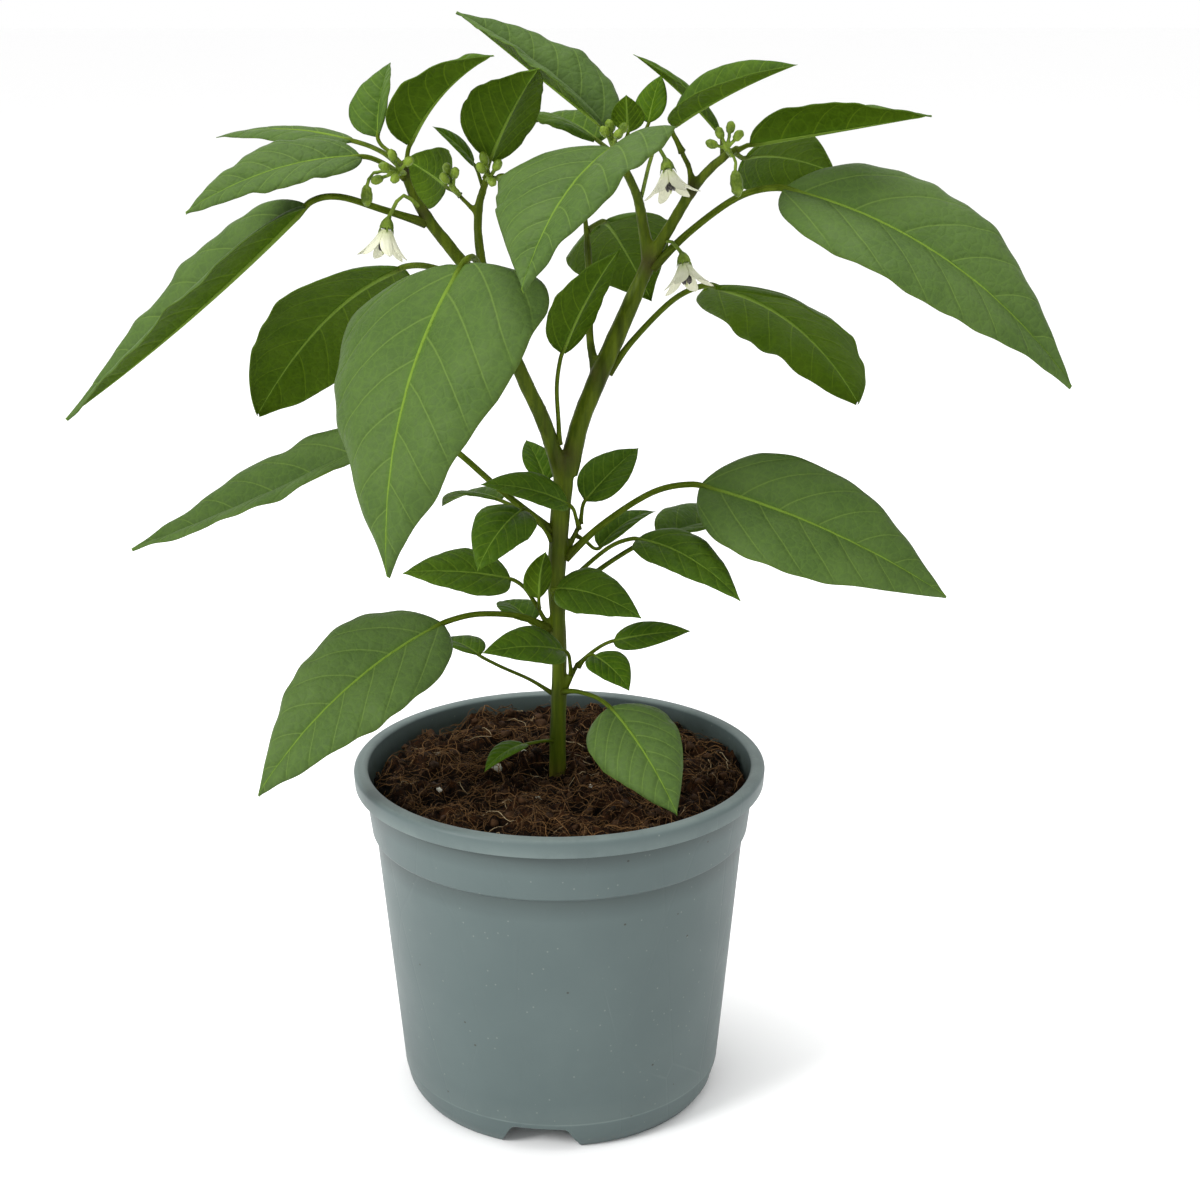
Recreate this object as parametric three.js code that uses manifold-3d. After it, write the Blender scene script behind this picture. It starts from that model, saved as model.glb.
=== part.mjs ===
// A sweet pepper plant in a plastic nursery pot, in millimetres, +Z up.
// The origin is on the pot's axis, in the plane of its foot. The front, where the largest leaf hangs,
// is towards -Y.
//
// The pot is a thin moulded shell with a hooked rim, a stacking collar and a notched foot. The potting
// mix fills it. The stem is one grown piece with its roots, branches and side shoots. Each leaf is one
// piece with its stalk, and each open flower is three: a calyx on its stalk, a fused corolla, and the
// stamens.
import * as THREE from "three";
import { mergeVertices } from "three/addons/utils/BufferGeometryUtils.js";
import Module from "manifold-3d";

const wasm = await Module();
wasm.setup();

// ---- Driving dimensions ----
const POT_HEIGHT = 145;
const RIM_RADIUS = 85;
const RIM_SKIRT = 7.5; // height of the hooked rim's outer band
const RIM_HOOK = 4.4; // how far the hook stands out from the collar
const COLLAR_FOOT_Z = 117.5; // where the stacking collar steps in to the body
const COLLAR_FOOT_RADIUS = 78;
const BODY_TOP_RADIUS = 76.6;
const BASE_RADIUS = 67.3; // outside, at the height of the base plate
const BASE_Z = 13; // top of the base plate
const FOOT_RADIUS = 62.6;
const WALL = 1.5;
const POT_SIDES = 48;
const NOTCHES = 4;
const NOTCH_TURN = THREE.MathUtils.degToRad(-8); // the front notch sits a little left of the middle
const NOTCH_HEIGHT = 10.4;
const NOTCH_WIDTH_LOW = 33;
const NOTCH_WIDTH_HIGH = 22;
const DRAIN_RADIUS = 5;
const DRAIN_CIRCLE = 46;
const DRAINS = 8;

const MIX_TOP_Z = 139.5; // the potting mix's level at the stem
const GAP = 0.3; // air between pieces that touch
const BLADE_RIB = 0.9; // how far the midrib stands out under a blade
const PUFF = 0.06; // how much each half of a blade bulges upwards, as a share of its width

// ---- Solids from rings ----

function vector([x, y, z]) {
  return new THREE.Vector3(x, y, z);
}

// A closed mesh through rings of equal length. Each end is closed by a fan to a point.
function loft(rings, startPoint, endPoint) {
  const count = rings[0].length;
  const points = [...rings.flat(), startPoint, endPoint];
  const start = points.length - 2;
  const end = points.length - 1;
  const index = [];
  rings.forEach((ring, i) => {
    for (let j = 0; j < count; j++) {
      const next = (j + 1) % count;
      const here = i * count;
      if (i === 0) index.push(start, next, j);
      if (i === rings.length - 1) index.push(end, here + j, here + next);
      else {
        index.push(here + j, here + next, here + count + next);
        index.push(here + j, here + count + next, here + count + j);
      }
    }
  });
  const geometry = new THREE.BufferGeometry().setFromPoints(points);
  geometry.setIndex(index);
  return geometry;
}

function solidFrom(geometry) {
  const bare = geometry.index ? geometry.clone() : geometry;
  bare.deleteAttribute("normal");
  bare.deleteAttribute("uv");
  const merged = mergeVertices(bare, 1e-4);
  return new wasm.Manifold(
    new wasm.Mesh({
      numProp: 3,
      vertProperties: new Float32Array(merged.attributes.position.array),
      triVerts: new Uint32Array(merged.index.array),
    }),
  );
}

function geometryFrom(solid) {
  const mesh = solid.getMesh();
  const geometry = new THREE.BufferGeometry();
  geometry.setAttribute("position", new THREE.BufferAttribute(mesh.vertProperties, 3));
  geometry.setIndex(new THREE.BufferAttribute(mesh.triVerts, 1));
  return geometry;
}

function joined(solids) {
  return solids.reduce((all, next) => all.add(next));
}

// Cutting can leave crumbs, so the piece is its largest body.
function largestBody(solid) {
  return solid.decompose().reduce((best, body) => (body.volume() > best.volume() ? body : best));
}

// ---- Stalks: round tubes along a smooth curve, with a radius that changes along it ----

// points are [x, y, z, radius]; the tube is widened by extra where its clearance is wanted.
function stalk(points, { sides = 8, steps = points.length * 2, extra = 0 } = {}) {
  const curve = new THREE.CatmullRomCurve3(points.map(vector));
  const frames = curve.computeFrenetFrames(steps, false);
  const rings = frames.tangents.map((_, i) => {
    const share = i / steps;
    // Points are evenly spaced in the curve's own parameter, so the radius is read at that parameter.
    const t = curve.getUtoTmapping(share) * (points.length - 1);
    const low = Math.min(Math.floor(t), points.length - 2);
    const radius = THREE.MathUtils.lerp(points[low][3], points[low + 1][3], t - low) + extra;
    const centre = curve.getPointAt(share);
    return Array.from({ length: sides }, (_, j) => {
      const angle = (j / sides) * 2 * Math.PI;
      return centre
        .clone()
        .addScaledVector(frames.normals[i], Math.cos(angle) * radius)
        .addScaledVector(frames.binormals[i], Math.sin(angle) * radius);
    });
  });
  return solidFrom(loft(rings, curve.getPointAt(0), curve.getPointAt(1)));
}

// ---- The pot ----

function potProfile() {
  const collarTop = RIM_RADIUS - RIM_HOOK;
  const rimFloor = POT_HEIGHT - RIM_SKIRT;
  return [
    [0, BASE_Z - 2],
    [FOOT_RADIUS - 2, BASE_Z - 2],
    [FOOT_RADIUS - 3.2, 0],
    [FOOT_RADIUS - 1, 0],
    [FOOT_RADIUS, 0.6],
    [FOOT_RADIUS + 2.9, 4.5],
    [BASE_RADIUS, BASE_Z],
    [BODY_TOP_RADIUS, COLLAR_FOOT_Z - 2],
    [COLLAR_FOOT_RADIUS, COLLAR_FOOT_Z],
    [collarTop, rimFloor],
    [collarTop, POT_HEIGHT - WALL - 0.6],
    [RIM_RADIUS - WALL, POT_HEIGHT - WALL - 1.2],
    [RIM_RADIUS - WALL, rimFloor],
    [RIM_RADIUS - 0.4, rimFloor],
    [RIM_RADIUS, POT_HEIGHT - 1.5],
    [RIM_RADIUS - 1.2, POT_HEIGHT - 0.2],
    [collarTop, POT_HEIGHT],
    [collarTop - WALL, POT_HEIGHT - 0.8],
    [collarTop - WALL, rimFloor],
    [COLLAR_FOOT_RADIUS - WALL, COLLAR_FOOT_Z],
    [BODY_TOP_RADIUS - WALL, COLLAR_FOOT_Z - 2],
    [BASE_RADIUS - WALL, BASE_Z],
    [0, BASE_Z],
  ];
}

function lathe(profile, sides) {
  const geometry = new THREE.LatheGeometry(
    profile.map(([r, z]) => new THREE.Vector2(r, z)),
    sides,
  );
  return solidFrom(geometry.rotateX(Math.PI / 2));
}

function notchCutter(turn) {
  const outline = new THREE.Shape([
    new THREE.Vector2(-NOTCH_WIDTH_LOW / 2, -1),
    new THREE.Vector2(NOTCH_WIDTH_LOW / 2, -1),
    new THREE.Vector2(NOTCH_WIDTH_HIGH / 2, NOTCH_HEIGHT),
    new THREE.Vector2(-NOTCH_WIDTH_HIGH / 2, NOTCH_HEIGHT),
  ]);
  const depth = 22;
  const geometry = new THREE.ExtrudeGeometry(outline, { depth, bevelEnabled: false });
  geometry.rotateX(Math.PI / 2);
  geometry.translate(0, -FOOT_RADIUS + depth - 8, 0);
  return solidFrom(geometry.rotateZ(turn));
}

function drainCutter(radius, distance, turn) {
  const geometry = new THREE.CylinderGeometry(radius, radius, 8, 12);
  geometry.rotateX(Math.PI / 2).translate(0, -distance, BASE_Z - 1);
  return solidFrom(geometry.rotateZ(turn));
}

function makePot() {
  let pot = lathe(potProfile(), POT_SIDES);
  for (let i = 0; i < NOTCHES; i++) {
    pot = pot.subtract(notchCutter(NOTCH_TURN + (i / NOTCHES) * 2 * Math.PI));
  }
  for (let i = 0; i < DRAINS; i++) {
    pot = pot.subtract(drainCutter(DRAIN_RADIUS, DRAIN_CIRCLE, ((i + 0.5) / DRAINS) * 2 * Math.PI));
  }
  return pot.subtract(drainCutter(DRAIN_RADIUS + 1, 0, 0));
}

// ---- The stem, with its roots, branches and side shoots. Each route is [x, y, z, radius]. ----

const FORK = [3, 0, 274, 4.0];
const LEFT_FORK = [-25, -12, 336, 2.6];
const RIGHT_FORK = [36, 8, 349, 2.8];

const MAIN_STEM = [
  [0, 0, 108, 2.2],
  [0, 0, 122, 3.4],
  [-1, 0, 141, 3.7],
  [0, 0, 175, 3.2],
  [0, 0, 197, 3.3],
  [-1, 0, 218, 3.5],
  [0, 0, 239, 4.0],
  [2, 0, 262, 4.2],
  FORK,
];

const BRANCHES = {
  left: [[1, 0, 266, 3.4], [-5, -4, 287, 3.3], [-14, -8, 308, 3.1], LEFT_FORK],
  left_outer: [LEFT_FORK, [-34, -15, 350, 2.8], [-47, -16, 367, 2.4], [-55, -15, 380, 1.8],
    [-57, -13, 389, 1.5]],
  left_inner: [LEFT_FORK, [-28, -9, 348, 2.1], [-30, -4, 364, 1.9], [-29, -2, 374, 1.7],
    [-26, 0, 383, 1.4]],
  left_inner_twig: [[-30, -3, 369, 1.4], [-34, -3, 373, 1.1], [-38, -2, 377, 1]],
  right: [[4, 0, 266, 4.1], [9, 2, 287, 4.0], [17, 5, 306, 3.9], [27, 7, 328, 3.8], RIGHT_FORK],
  right_inner: [RIGHT_FORK, [34, 6, 361, 2.4], [31, 0, 375, 2.0], [26, -7, 386, 1.7],
    [23, -11, 393, 1.5]],
  right_outer: [RIGHT_FORK, [44, 4, 363, 2.4], [53, 0, 379, 2.2], [62, -4, 389, 1.8],
    [69, -7, 394, 1.4]],
  right_outer_twig: [[52, 0, 377, 1.8], [51, 0, 385, 1.3], [47, -5, 393, 1.1]],
  centre_back: [[16, 5, 303, 2.2], [13, 12, 318, 1.8], [13, 22, 342, 1.7], [12, 28, 358, 1.4],
    [11, 31, 368, 1.2]],
  low_right_shoot: [[1, 0, 172, 1.8], [5, -2, 182, 1.2], [8, -3, 188, 1]],
  middle_left_shoot: [[-1, 0, 198, 1.8], [-6, -1, 206, 1.2], [-9, -3, 213, 1]],
  middle_right_shoot: [[1, 0, 231, 1.8], [6, 2, 239, 1.3], [9, 3, 246, 1]],
};

// Main roots leave the foot of the stem all round and run down through the mix.
const ROOTS = 6;
const ROOT_REACH = 46;
const ROOT_DROP = 52;

function rootRoute(i) {
  const heading = ((i + 0.3) / ROOTS) * 2 * Math.PI;
  const reach = ROOT_REACH * (i % 2 ? 0.8 : 1);
  const at = (share, drop, radius) => [
    Math.cos(heading) * reach * share,
    Math.sin(heading) * reach * share,
    120 - ROOT_DROP * drop,
    radius,
  ];
  return [at(0, 0, 1.8), at(0.35, 0.15, 1.4), at(0.75, 0.5, 1), at(1, 1, 0.6)];
}

function makeStem(extra = 0) {
  const branches = Object.values(BRANCHES).map((route) => stalk(route, { sides: 7, extra }));
  const roots = Array.from({ length: ROOTS }, (_, i) =>
    stalk(rootRoute(i), { sides: 5, steps: 4, extra }),
  );
  return joined([stalk(MAIN_STEM, { sides: 10, steps: 12, extra }), ...branches, ...roots]);
}

// ---- The potting mix ----

function makeMix(stemClearance) {
  const sides = 36;
  const edge = BODY_TOP_RADIUS - WALL - GAP;
  const crumb = (angle, radius) =>
    1.3 * Math.sin(3 * angle + radius / 9) + 0.9 * Math.cos(7 * angle - radius / 6);
  const rows = [
    [BASE_RADIUS - WALL - GAP - 2, BASE_Z + GAP, 0],
    [BASE_RADIUS - WALL - GAP, BASE_Z + 3, 0],
    [edge - 1.2, COLLAR_FOOT_Z - 14, 0],
    [edge, COLLAR_FOOT_Z - 2.5, 0],
    [edge + 0.8, MIX_TOP_Z - 14, 0],
    [edge + 1.8, MIX_TOP_Z - 5.5, 0.3],
    [edge - 0.8, MIX_TOP_Z - 2.6, 0.6],
    [edge - 7, MIX_TOP_Z - 1.4, 1],
    [52, MIX_TOP_Z - 0.6, 1],
    [34, MIX_TOP_Z - 1, 1],
    [16, MIX_TOP_Z, 0.5],
  ];
  const rings = rows.map(([radius, z, rough]) =>
    Array.from({ length: sides }, (_, j) => {
      const angle = (j / sides) * 2 * Math.PI;
      const height = z + rough * crumb(angle, radius);
      return vector([radius * Math.cos(angle), radius * Math.sin(angle), height]);
    }),
  );
  const mix = solidFrom(loft(rings, vector([0, 0, BASE_Z + GAP]), vector([0, 0, MIX_TOP_Z])));
  return largestBody(mix.subtract(stemClearance));
}

// ---- Leaves ----

// foot is on the stem's centre line, base is where the stalk becomes the blade, and tip is the blade's
// point. arch is the midrib's rise above the straight line from base to tip, as a share of the blade's
// length. roll turns the blade about its own length and fold lifts its two halves, in degrees.
// rise is how steeply the stalk leaves the stem: 0 straight towards the blade, 1 straight up.
// skew carries the right half towards the tip and the left half towards the base, as a share of its
// half-width. shoulder and taper shape the outline at its base and its end.
const LEAVES = [
  // Upper left, on the left branch and its two forks.
  { name: "leaf_front_large", foot: [-26, -12, 338], base: [-34, -48, 356], tip: [-61, -95, 252],
    width: 84, arch: 0.12, roll: 5, fold: -5, skew: 0.12, shoulder: 0.28 },
  { name: "leaf_left_drooping", foot: [-49, -16, 367], base: [-92, -27, 375], tip: [-188, -22, 294],
    width: 46, arch: -0.02, fold: 35, roll: -15, rise: 0.05 },
  { name: "leaf_left_upper", foot: [-57, -15, 384], base: [-72, -20, 392], tip: [-133, -48, 375],
    width: 34, arch: 0.08, roll: -20, fold: 8, skew: -0.2 },
  { name: "leaf_left_upper_back", foot: [-57, -12, 386], base: [-78, 13, 395], tip: [-135, 42, 394],
    width: 20, arch: 0.06, roll: -10, fold: -10 },
  { name: "leaf_left_outer_upright", foot: [-56, -14, 388], base: [-54, -18, 396], tip: [-22, -38, 429],
    width: 34, arch: 0.08, roll: 10, fold: 40 },
  { name: "leaf_left_outer_back", foot: [-58, -12, 389], base: [-67, -4, 398], tip: [-63, 16, 424],
    width: 24, arch: 0.05, roll: -30, fold: 30 },
  { name: "leaf_left_inner_upright", foot: [-27, 0, 381], base: [-25, -3, 389], tip: [-6, -24, 424],
    width: 36, arch: 0.05, roll: -15, fold: 25, skew: 0.2 },
  { name: "leaf_left_inner_small", foot: [-28, 1, 378], base: [-31, 0, 387], tip: [-46, -9, 402],
    width: 11, arch: 0.05, roll: -40, fold: 8 },
  { name: "leaf_left_inner_back", foot: [-37, -2, 376], base: [-42, 6, 378], tip: [-60, 38, 386],
    width: 24, arch: 0.06, roll: 110, fold: 0 },
  { name: "leaf_left_back_hanging", foot: [-26, -11, 339], base: [-61, 22, 345], tip: [-128, 70, 276],
    width: 56, arch: 0.11, roll: 30, fold: -10, taper: 0.75 },
  // Left, from the main stem.
  { name: "leaf_left_middle", foot: [0, 0, 240], base: [-66, -12, 284], tip: [-166, -24, 243],
    width: 46, arch: -0.03, roll: -10, fold: 22, rise: 0 },
  { name: "leaf_middle_left_back", foot: [0, 0, 240], base: [-24, 22, 250], tip: [-50, 62, 237],
    width: 20, arch: 0.08, fold: 10 },
  // Top and right, on the right branch and its two forks.
  { name: "leaf_top_front", foot: [27, -5, 384], base: [21, -30, 396], tip: [-12, -95, 354],
    width: 62, arch: 0.08, roll: 10, fold: 10, skew: 0.35, shoulder: 0.3 },
  { name: "leaf_top_left_raised", foot: [24, -9, 391], base: [19, -9, 401], tip: [-37, 10, 443],
    width: 42, arch: 0, roll: -10, fold: 32, skew: -0.2 },
  { name: "leaf_top_back", foot: [26, -7, 387], base: [16, 14, 395], tip: [-12, 50, 399],
    width: 34, arch: 0.1, fold: 10 },
  { name: "leaf_top_small", foot: [23, -11, 393], base: [27, -12, 400], tip: [26, -19, 414],
    width: 13, arch: 0, fold: 15 },
  { name: "leaf_top_right_inner", foot: [25, -8, 389], base: [35, -4, 403], tip: [40, 3, 420],
    width: 14, arch: 0.04, fold: 10 },
  { name: "leaf_top_right_raised", foot: [47, -5, 393], base: [44, -11, 402], tip: [86, -45, 426],
    width: 24, arch: 0.03, roll: 30, fold: 45 },
  { name: "leaf_top_right_back", foot: [63, -4, 390], base: [62, 2, 399], tip: [29, -8, 428],
    width: 20, arch: 0.03, roll: -15, fold: 20, skew: -0.2 },
  { name: "leaf_right_upper", foot: [69, -7, 393], base: [73, -8, 395], tip: [138, -26, 407],
    width: 36, arch: 0, roll: -5, fold: 38 },
  { name: "leaf_right_upper_back", foot: [66, -6, 392], base: [72, 4, 389], tip: [113, 48, 379],
    width: 32, arch: 0.08, roll: -50, fold: -5 },
  { name: "leaf_right_large", foot: [36, 8, 345], base: [86, -12, 379], tip: [190, -52, 311],
    width: 62, arch: 0.12, roll: 28, fold: 8 },
  { name: "leaf_right_back_hanging", foot: [16, 5, 300], base: [62, 25, 337], tip: [129, 70, 280],
    width: 58, arch: 0.1, roll: -12, fold: -5, rise: 0.3, taper: 0.75 },
  { name: "leaf_centre_back", foot: [12, 28, 358], base: [19, 39, 361], tip: [41, 100, 320],
    width: 46, arch: 0.12, roll: -30, fold: -10 },
  { name: "leaf_centre_upright", foot: [1, -2, 272], base: [2, -7, 316], tip: [24, -14, 357],
    width: 27, arch: 0.05, roll: -30, fold: 15 },
  // Right, from the main stem.
  { name: "leaf_right_middle", foot: [2, 0, 230], base: [56, -12, 264], tip: [149, -45, 228],
    width: 52, arch: 0.08, roll: 40, fold: 5, rise: 0.3 },
  { name: "leaf_right_middle_small", foot: [1, 0, 217], base: [31, -14, 243], tip: [70, -42, 226],
    width: 24, arch: 0.12, roll: 20, fold: 5 },
  { name: "leaf_right_middle_back", foot: [1, 0, 212], base: [42, 27, 233], tip: [91, 80, 222],
    width: 28, arch: 0.05, roll: 10, fold: 22 },
  // Side shoots, from the top down.
  { name: "leaf_shoot_right_top", foot: [9, 3, 245], base: [11, 5, 254], tip: [33, 24, 271],
    width: 20, arch: 0.05, roll: 25, fold: 15 },
  { name: "leaf_shoot_front_top", foot: [8, 1, 244], base: [4, -9, 256], tip: [-30, -24, 268],
    width: 18, arch: 0.08, roll: -35, fold: 10 },
  { name: "leaf_shoot_back_top", foot: [2, 3, 240], base: [-5, 18, 259], tip: [-13, 35, 272],
    width: 15, arch: 0.05, fold: 12 },
  { name: "leaf_shoot_right_back", foot: [7, 2, 240], base: [17, 10, 233], tip: [41, 32, 242],
    width: 16, arch: 0.1, fold: 15 },
  { name: "leaf_shoot_left_front", foot: [-1, 0, 235], base: [-14, -14, 255], tip: [-31, -40, 238],
    width: 26, arch: 0.12, roll: -10, fold: 5, skew: -0.2 },
  { name: "leaf_shoot_left_outer", foot: [-6, -1, 206], base: [-19, -8, 225], tip: [-61, -22, 232],
    width: 24, arch: 0.06, roll: -35, fold: 5 },
  { name: "leaf_shoot_left_upright", foot: [-8, -2, 210], base: [-8, -8, 217], tip: [-5, -14, 238],
    width: 13, arch: 0.08, roll: 0, fold: 15 },
  { name: "leaf_shoot_front_right", foot: [-1, 0, 212], base: [-1, -15, 223], tip: [32, -38, 218],
    width: 24, arch: 0.12, roll: 30, fold: 5, skew: 0.3 },
  { name: "leaf_shoot_left_back", foot: [-2, 0, 200], base: [-12, 14, 200], tip: [-25, 36, 202],
    width: 18, arch: 0.08, fold: 10 },
  // Lowest shoots and the seedling's first leaves.
  { name: "leaf_low_left_large", foot: [-1, 0, 200], base: [-46, -22, 211], tip: [-116, -62, 155],
    width: 50, arch: 0.12, roll: -25, fold: 5, rise: 0.4 },
  { name: "leaf_low_front", foot: [5, -2, 182], base: [2, -12, 196], tip: [-30, -35, 203],
    width: 20, arch: 0.08, roll: -35, fold: 8 },
  { name: "leaf_low_left_back", foot: [-1, 0, 172], base: [-33, 10, 187], tip: [-52, 34, 185],
    width: 16, arch: 0.08, fold: 12 },
  { name: "leaf_low_right", foot: [8, -3, 187], base: [22, -3, 197], tip: [53, -12, 204],
    width: 14, arch: 0.04, roll: 35, fold: 0 },
  { name: "leaf_low_right_small", foot: [8, -3, 186], base: [14, -9, 193], tip: [28, -24, 183],
    width: 18, arch: 0.1, roll: 10, fold: 5 },
  { name: "leaf_low_right_front", foot: [0, 0, 174], base: [20, -29, 178], tip: [45, -67, 148],
    width: 36, arch: 0.12, roll: 20, fold: -5 },
  { name: "leaf_lowest_left", foot: [-1, 0, 152], base: [-14, -15, 157], tip: [-30, -32, 152],
    width: 12, arch: 0.1, fold: 10 },
];

// Where each ring of a blade lies along the midrib, from 0 at the base to 1 at the tip.
const BLADE_STATIONS = [0.05, 0.14, 0.26, 0.4, 0.56, 0.72, 0.86, 0.95];
const STALK_STATIONS = [0, 0.33, 0.66, 0.93];

// The half-width of a pepper leaf's blade along it, as a share of its widest. A lower shoulder makes the
// base fuller, and a lower taper the end blunter.
function bladeShape(s, shoulder, taper) {
  const widest = shoulder / (shoulder + taper);
  const outline = (x) => x ** shoulder * (1 - x) ** taper;
  return outline(s) / outline(widest);
}

// The direction of the blade's upper face, square to its length and as near to straight up as roll allows.
function upperFace(along, roll) {
  const up = new THREE.Vector3(0, 0, 1);
  up.addScaledVector(along, -up.dot(along)).normalize();
  return up.applyAxisAngle(along, THREE.MathUtils.degToRad(roll));
}

// extra thickens the whole leaf, to keep its neighbours clear of it.
function makeLeaf(leaf, extra = 0) {
  const { foot, base, tip, width, arch = 0.1, roll = 0, fold = 10, skew = 0, rise = 0.25 } = leaf;
  const { shoulder = 0.55, taper = 1.05 } = leaf;
  const from = vector(foot);
  const root = vector(base);
  const point = vector(tip);
  const length = root.distanceTo(point);
  const along = point.clone().sub(root).normalize();
  const face = upperFace(along, roll);
  const middle = root.clone().lerp(point, 0.5).addScaledVector(face, 2 * arch * length);
  const midrib = new THREE.QuadraticBezierCurve3(root, middle, point);
  const reach = from.distanceTo(root);
  const away = midrib.getTangent(0);
  const towards = root.clone().sub(from).normalize();
  const lift = new THREE.Vector3(0, 0, 1).lerp(towards, 1 - rise).normalize();
  const stem = new THREE.CubicBezierCurve3(
    from,
    from.clone().addScaledVector(lift, reach * 0.35),
    root.clone().addScaledVector(away, -reach * 0.3),
    root,
  );
  const radius = THREE.MathUtils.clamp(0.5 + length / 160, 0.6, 1.25) + extra;
  const lean = THREE.MathUtils.degToRad(fold);

  // A ring is left edge, left middle, midrib, right middle, right edge, and the rib underneath.
  const stalkRings = STALK_STATIONS.map((s) => {
    const tangent = stem.getTangent(s);
    const top = face.clone().addScaledVector(tangent, -face.dot(tangent)).normalize();
    const side = tangent.clone().cross(top);
    const centre = stem.getPoint(s);
    const thick = radius * (s === 0 ? 1.35 : 1);
    return [180, 130, 90, 50, 0, 270].map((degrees) => {
      const angle = THREE.MathUtils.degToRad(degrees);
      return centre
        .clone()
        .addScaledVector(side, Math.cos(angle) * thick)
        .addScaledVector(top, Math.sin(angle) * thick);
    });
  });
  const bladeRings = BLADE_STATIONS.map((s) => {
    const tangent = midrib.getTangent(s);
    const top = face.clone().addScaledVector(tangent, -face.dot(tangent)).normalize();
    const side = tangent.clone().cross(top);
    const centre = midrib.getPoint(s);
    const half = Math.max((width / 2) * bladeShape(s, shoulder, taper) + extra, radius);
    const at = (share, rise) =>
      centre
        .clone()
        .addScaledVector(side, share * half * Math.cos(lean))
        .addScaledVector(tangent, share * half * skew * (1 - s))
        .addScaledVector(top, Math.abs(share) * half * Math.sin(lean) + rise);
    const puff = PUFF * half * 2 + extra;
    const rib = Math.max(BLADE_RIB * (1 - s), 0.45) + extra;
    return [at(-1, 0), at(-0.5, puff), at(0, 0.35 + extra), at(0.5, puff), at(1, 0), at(0, -rib)];
  });
  return solidFrom(loft([...stalkRings, ...bladeRings], from, point));
}

// ---- Flowers and buds ----

// Two directions square to an axis, for building round it.
function squareTo(axis) {
  const first = new THREE.Vector3(0, 1, 0).cross(axis).normalize();
  return [first, axis.clone().cross(first)];
}

const PETALS = 6;
const PETAL_LENGTH = 11;
const FLOWERS = [
  { name: "flower_left", foot: [-50, -16, 372], crest: [-57, -23, 378], throat: [-63, -26, 366],
    facing: [-0.15, -0.25, -1] },
  { name: "flower_top", foot: [32, 3, 372], crest: [38, -6, 394], throat: [42, -11, 386],
    facing: [0.15, -0.35, -1] },
  { name: "flower_right", foot: [36, 8, 350], crest: [43, 3, 358], throat: [49, -4, 350],
    facing: [0.15, -0.4, -1] },
];

function ringRound(centre, axis, radiusAt, sides, phase = 0) {
  const [u, v] = squareTo(axis);
  return Array.from({ length: sides }, (_, j) => {
    const angle = ((j + phase) / sides) * 2 * Math.PI;
    const radius = radiusAt(angle);
    return centre
      .clone()
      .addScaledVector(u, Math.cos(angle) * radius)
      .addScaledVector(v, Math.sin(angle) * radius);
  });
}

// The stalk arches over and ends in a small cup that holds the corolla.
function makeCalyx({ foot, crest, throat, facing }) {
  const axis = vector(facing).normalize();
  const hip = vector(throat).addScaledVector(axis, -4.5);
  const cup = [
    [-4.2, 1.0],
    [-2.6, 2.1],
    [-0.8, 2.6],
    [-0.2, 2.4],
  ].map(([along, radius]) => ringRound(vector(throat).addScaledVector(axis, along), axis, () => radius, 8));
  const bowl = solidFrom(loft(cup, hip, vector(throat).addScaledVector(axis, -0.2)));
  const hold = hip.clone().addScaledVector(axis, 0.8).toArray();
  const bend = stalk([[...foot, 0.9], [...crest, 0.8], [...hold, 0.9]], { sides: 6, steps: 6 });
  return bend.add(bowl);
}

// A bell of fused petals whose free tips spread; the inner skin follows the outer one.
function makeCorolla({ throat, facing }) {
  const axis = vector(facing).normalize();
  const top = vector(throat).addScaledVector(axis, GAP);
  const sides = PETALS * 4;
  const petalEdge = (angle) => 0.52 + 0.48 * Math.abs(Math.cos((angle * PETALS) / 2)) ** 1.5;
  const skin = (share, inset) => {
    const [u, v] = squareTo(axis);
    return Array.from({ length: sides }, (_, j) => {
      const angle = (j / sides) * 2 * Math.PI;
      const along = PETAL_LENGTH * share * petalEdge(angle);
      const radius = 2.4 + along * 0.62 - inset;
      return top
        .clone()
        .addScaledVector(axis, along * 0.92 + inset * 0.9)
        .addScaledVector(u, Math.cos(angle) * radius)
        .addScaledVector(v, Math.sin(angle) * radius);
    });
  };
  const outer = [0, 0.33, 0.7, 1].map((share) => skin(share, 0));
  const inner = [0.7, 0.33, 0.04].map((share) => skin(share, 0.45));
  return solidFrom(loft([...outer, ...inner], top, top.clone().addScaledVector(axis, 0.6)));
}

function makeStamens({ throat, facing }) {
  const axis = vector(facing).normalize();
  const from = vector(throat).addScaledVector(axis, 0.6 + 2 * GAP);
  const lobes = (radius) => (angle) => radius * (1 + 0.18 * Math.cos(angle * PETALS));
  const rings = [
    [0, 0.9],
    [2.4, 1.2],
    [5.4, 1.9],
    [6.6, 1.1],
  ].map(([along, radius]) => {
    const centre = from.clone().addScaledVector(axis, along);
    return ringRound(centre, axis, lobes(radius), PETALS * 2);
  });
  return solidFrom(loft(rings, from, from.clone().addScaledVector(axis, 8)));
}

// A closed flower bud: an egg on the end of its own stalk, which may arch over a crest.
function makeBud({ foot, crest, at, facing, length = 7, radius = 2.2 }) {
  const axis = vector(facing).normalize();
  const rings = [
    [0.0, 0.35],
    [0.15, 0.8],
    [0.45, 1],
    [0.75, 0.9],
    [0.93, 0.45],
  ].map(([along, share]) => {
    const centre = vector(at).addScaledVector(axis, along * length);
    return ringRound(centre, axis, () => share * radius, 8);
  });
  const egg = solidFrom(loft(rings, vector(at), vector(at).addScaledVector(axis, length)));
  const hold = vector(at).addScaledVector(axis, 1).toArray();
  const route = crest ? [foot, crest, hold] : [foot, hold];
  return egg.add(stalk(route.map((p) => [...p, 0.7]), { sides: 6, steps: 5 }));
}

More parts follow.
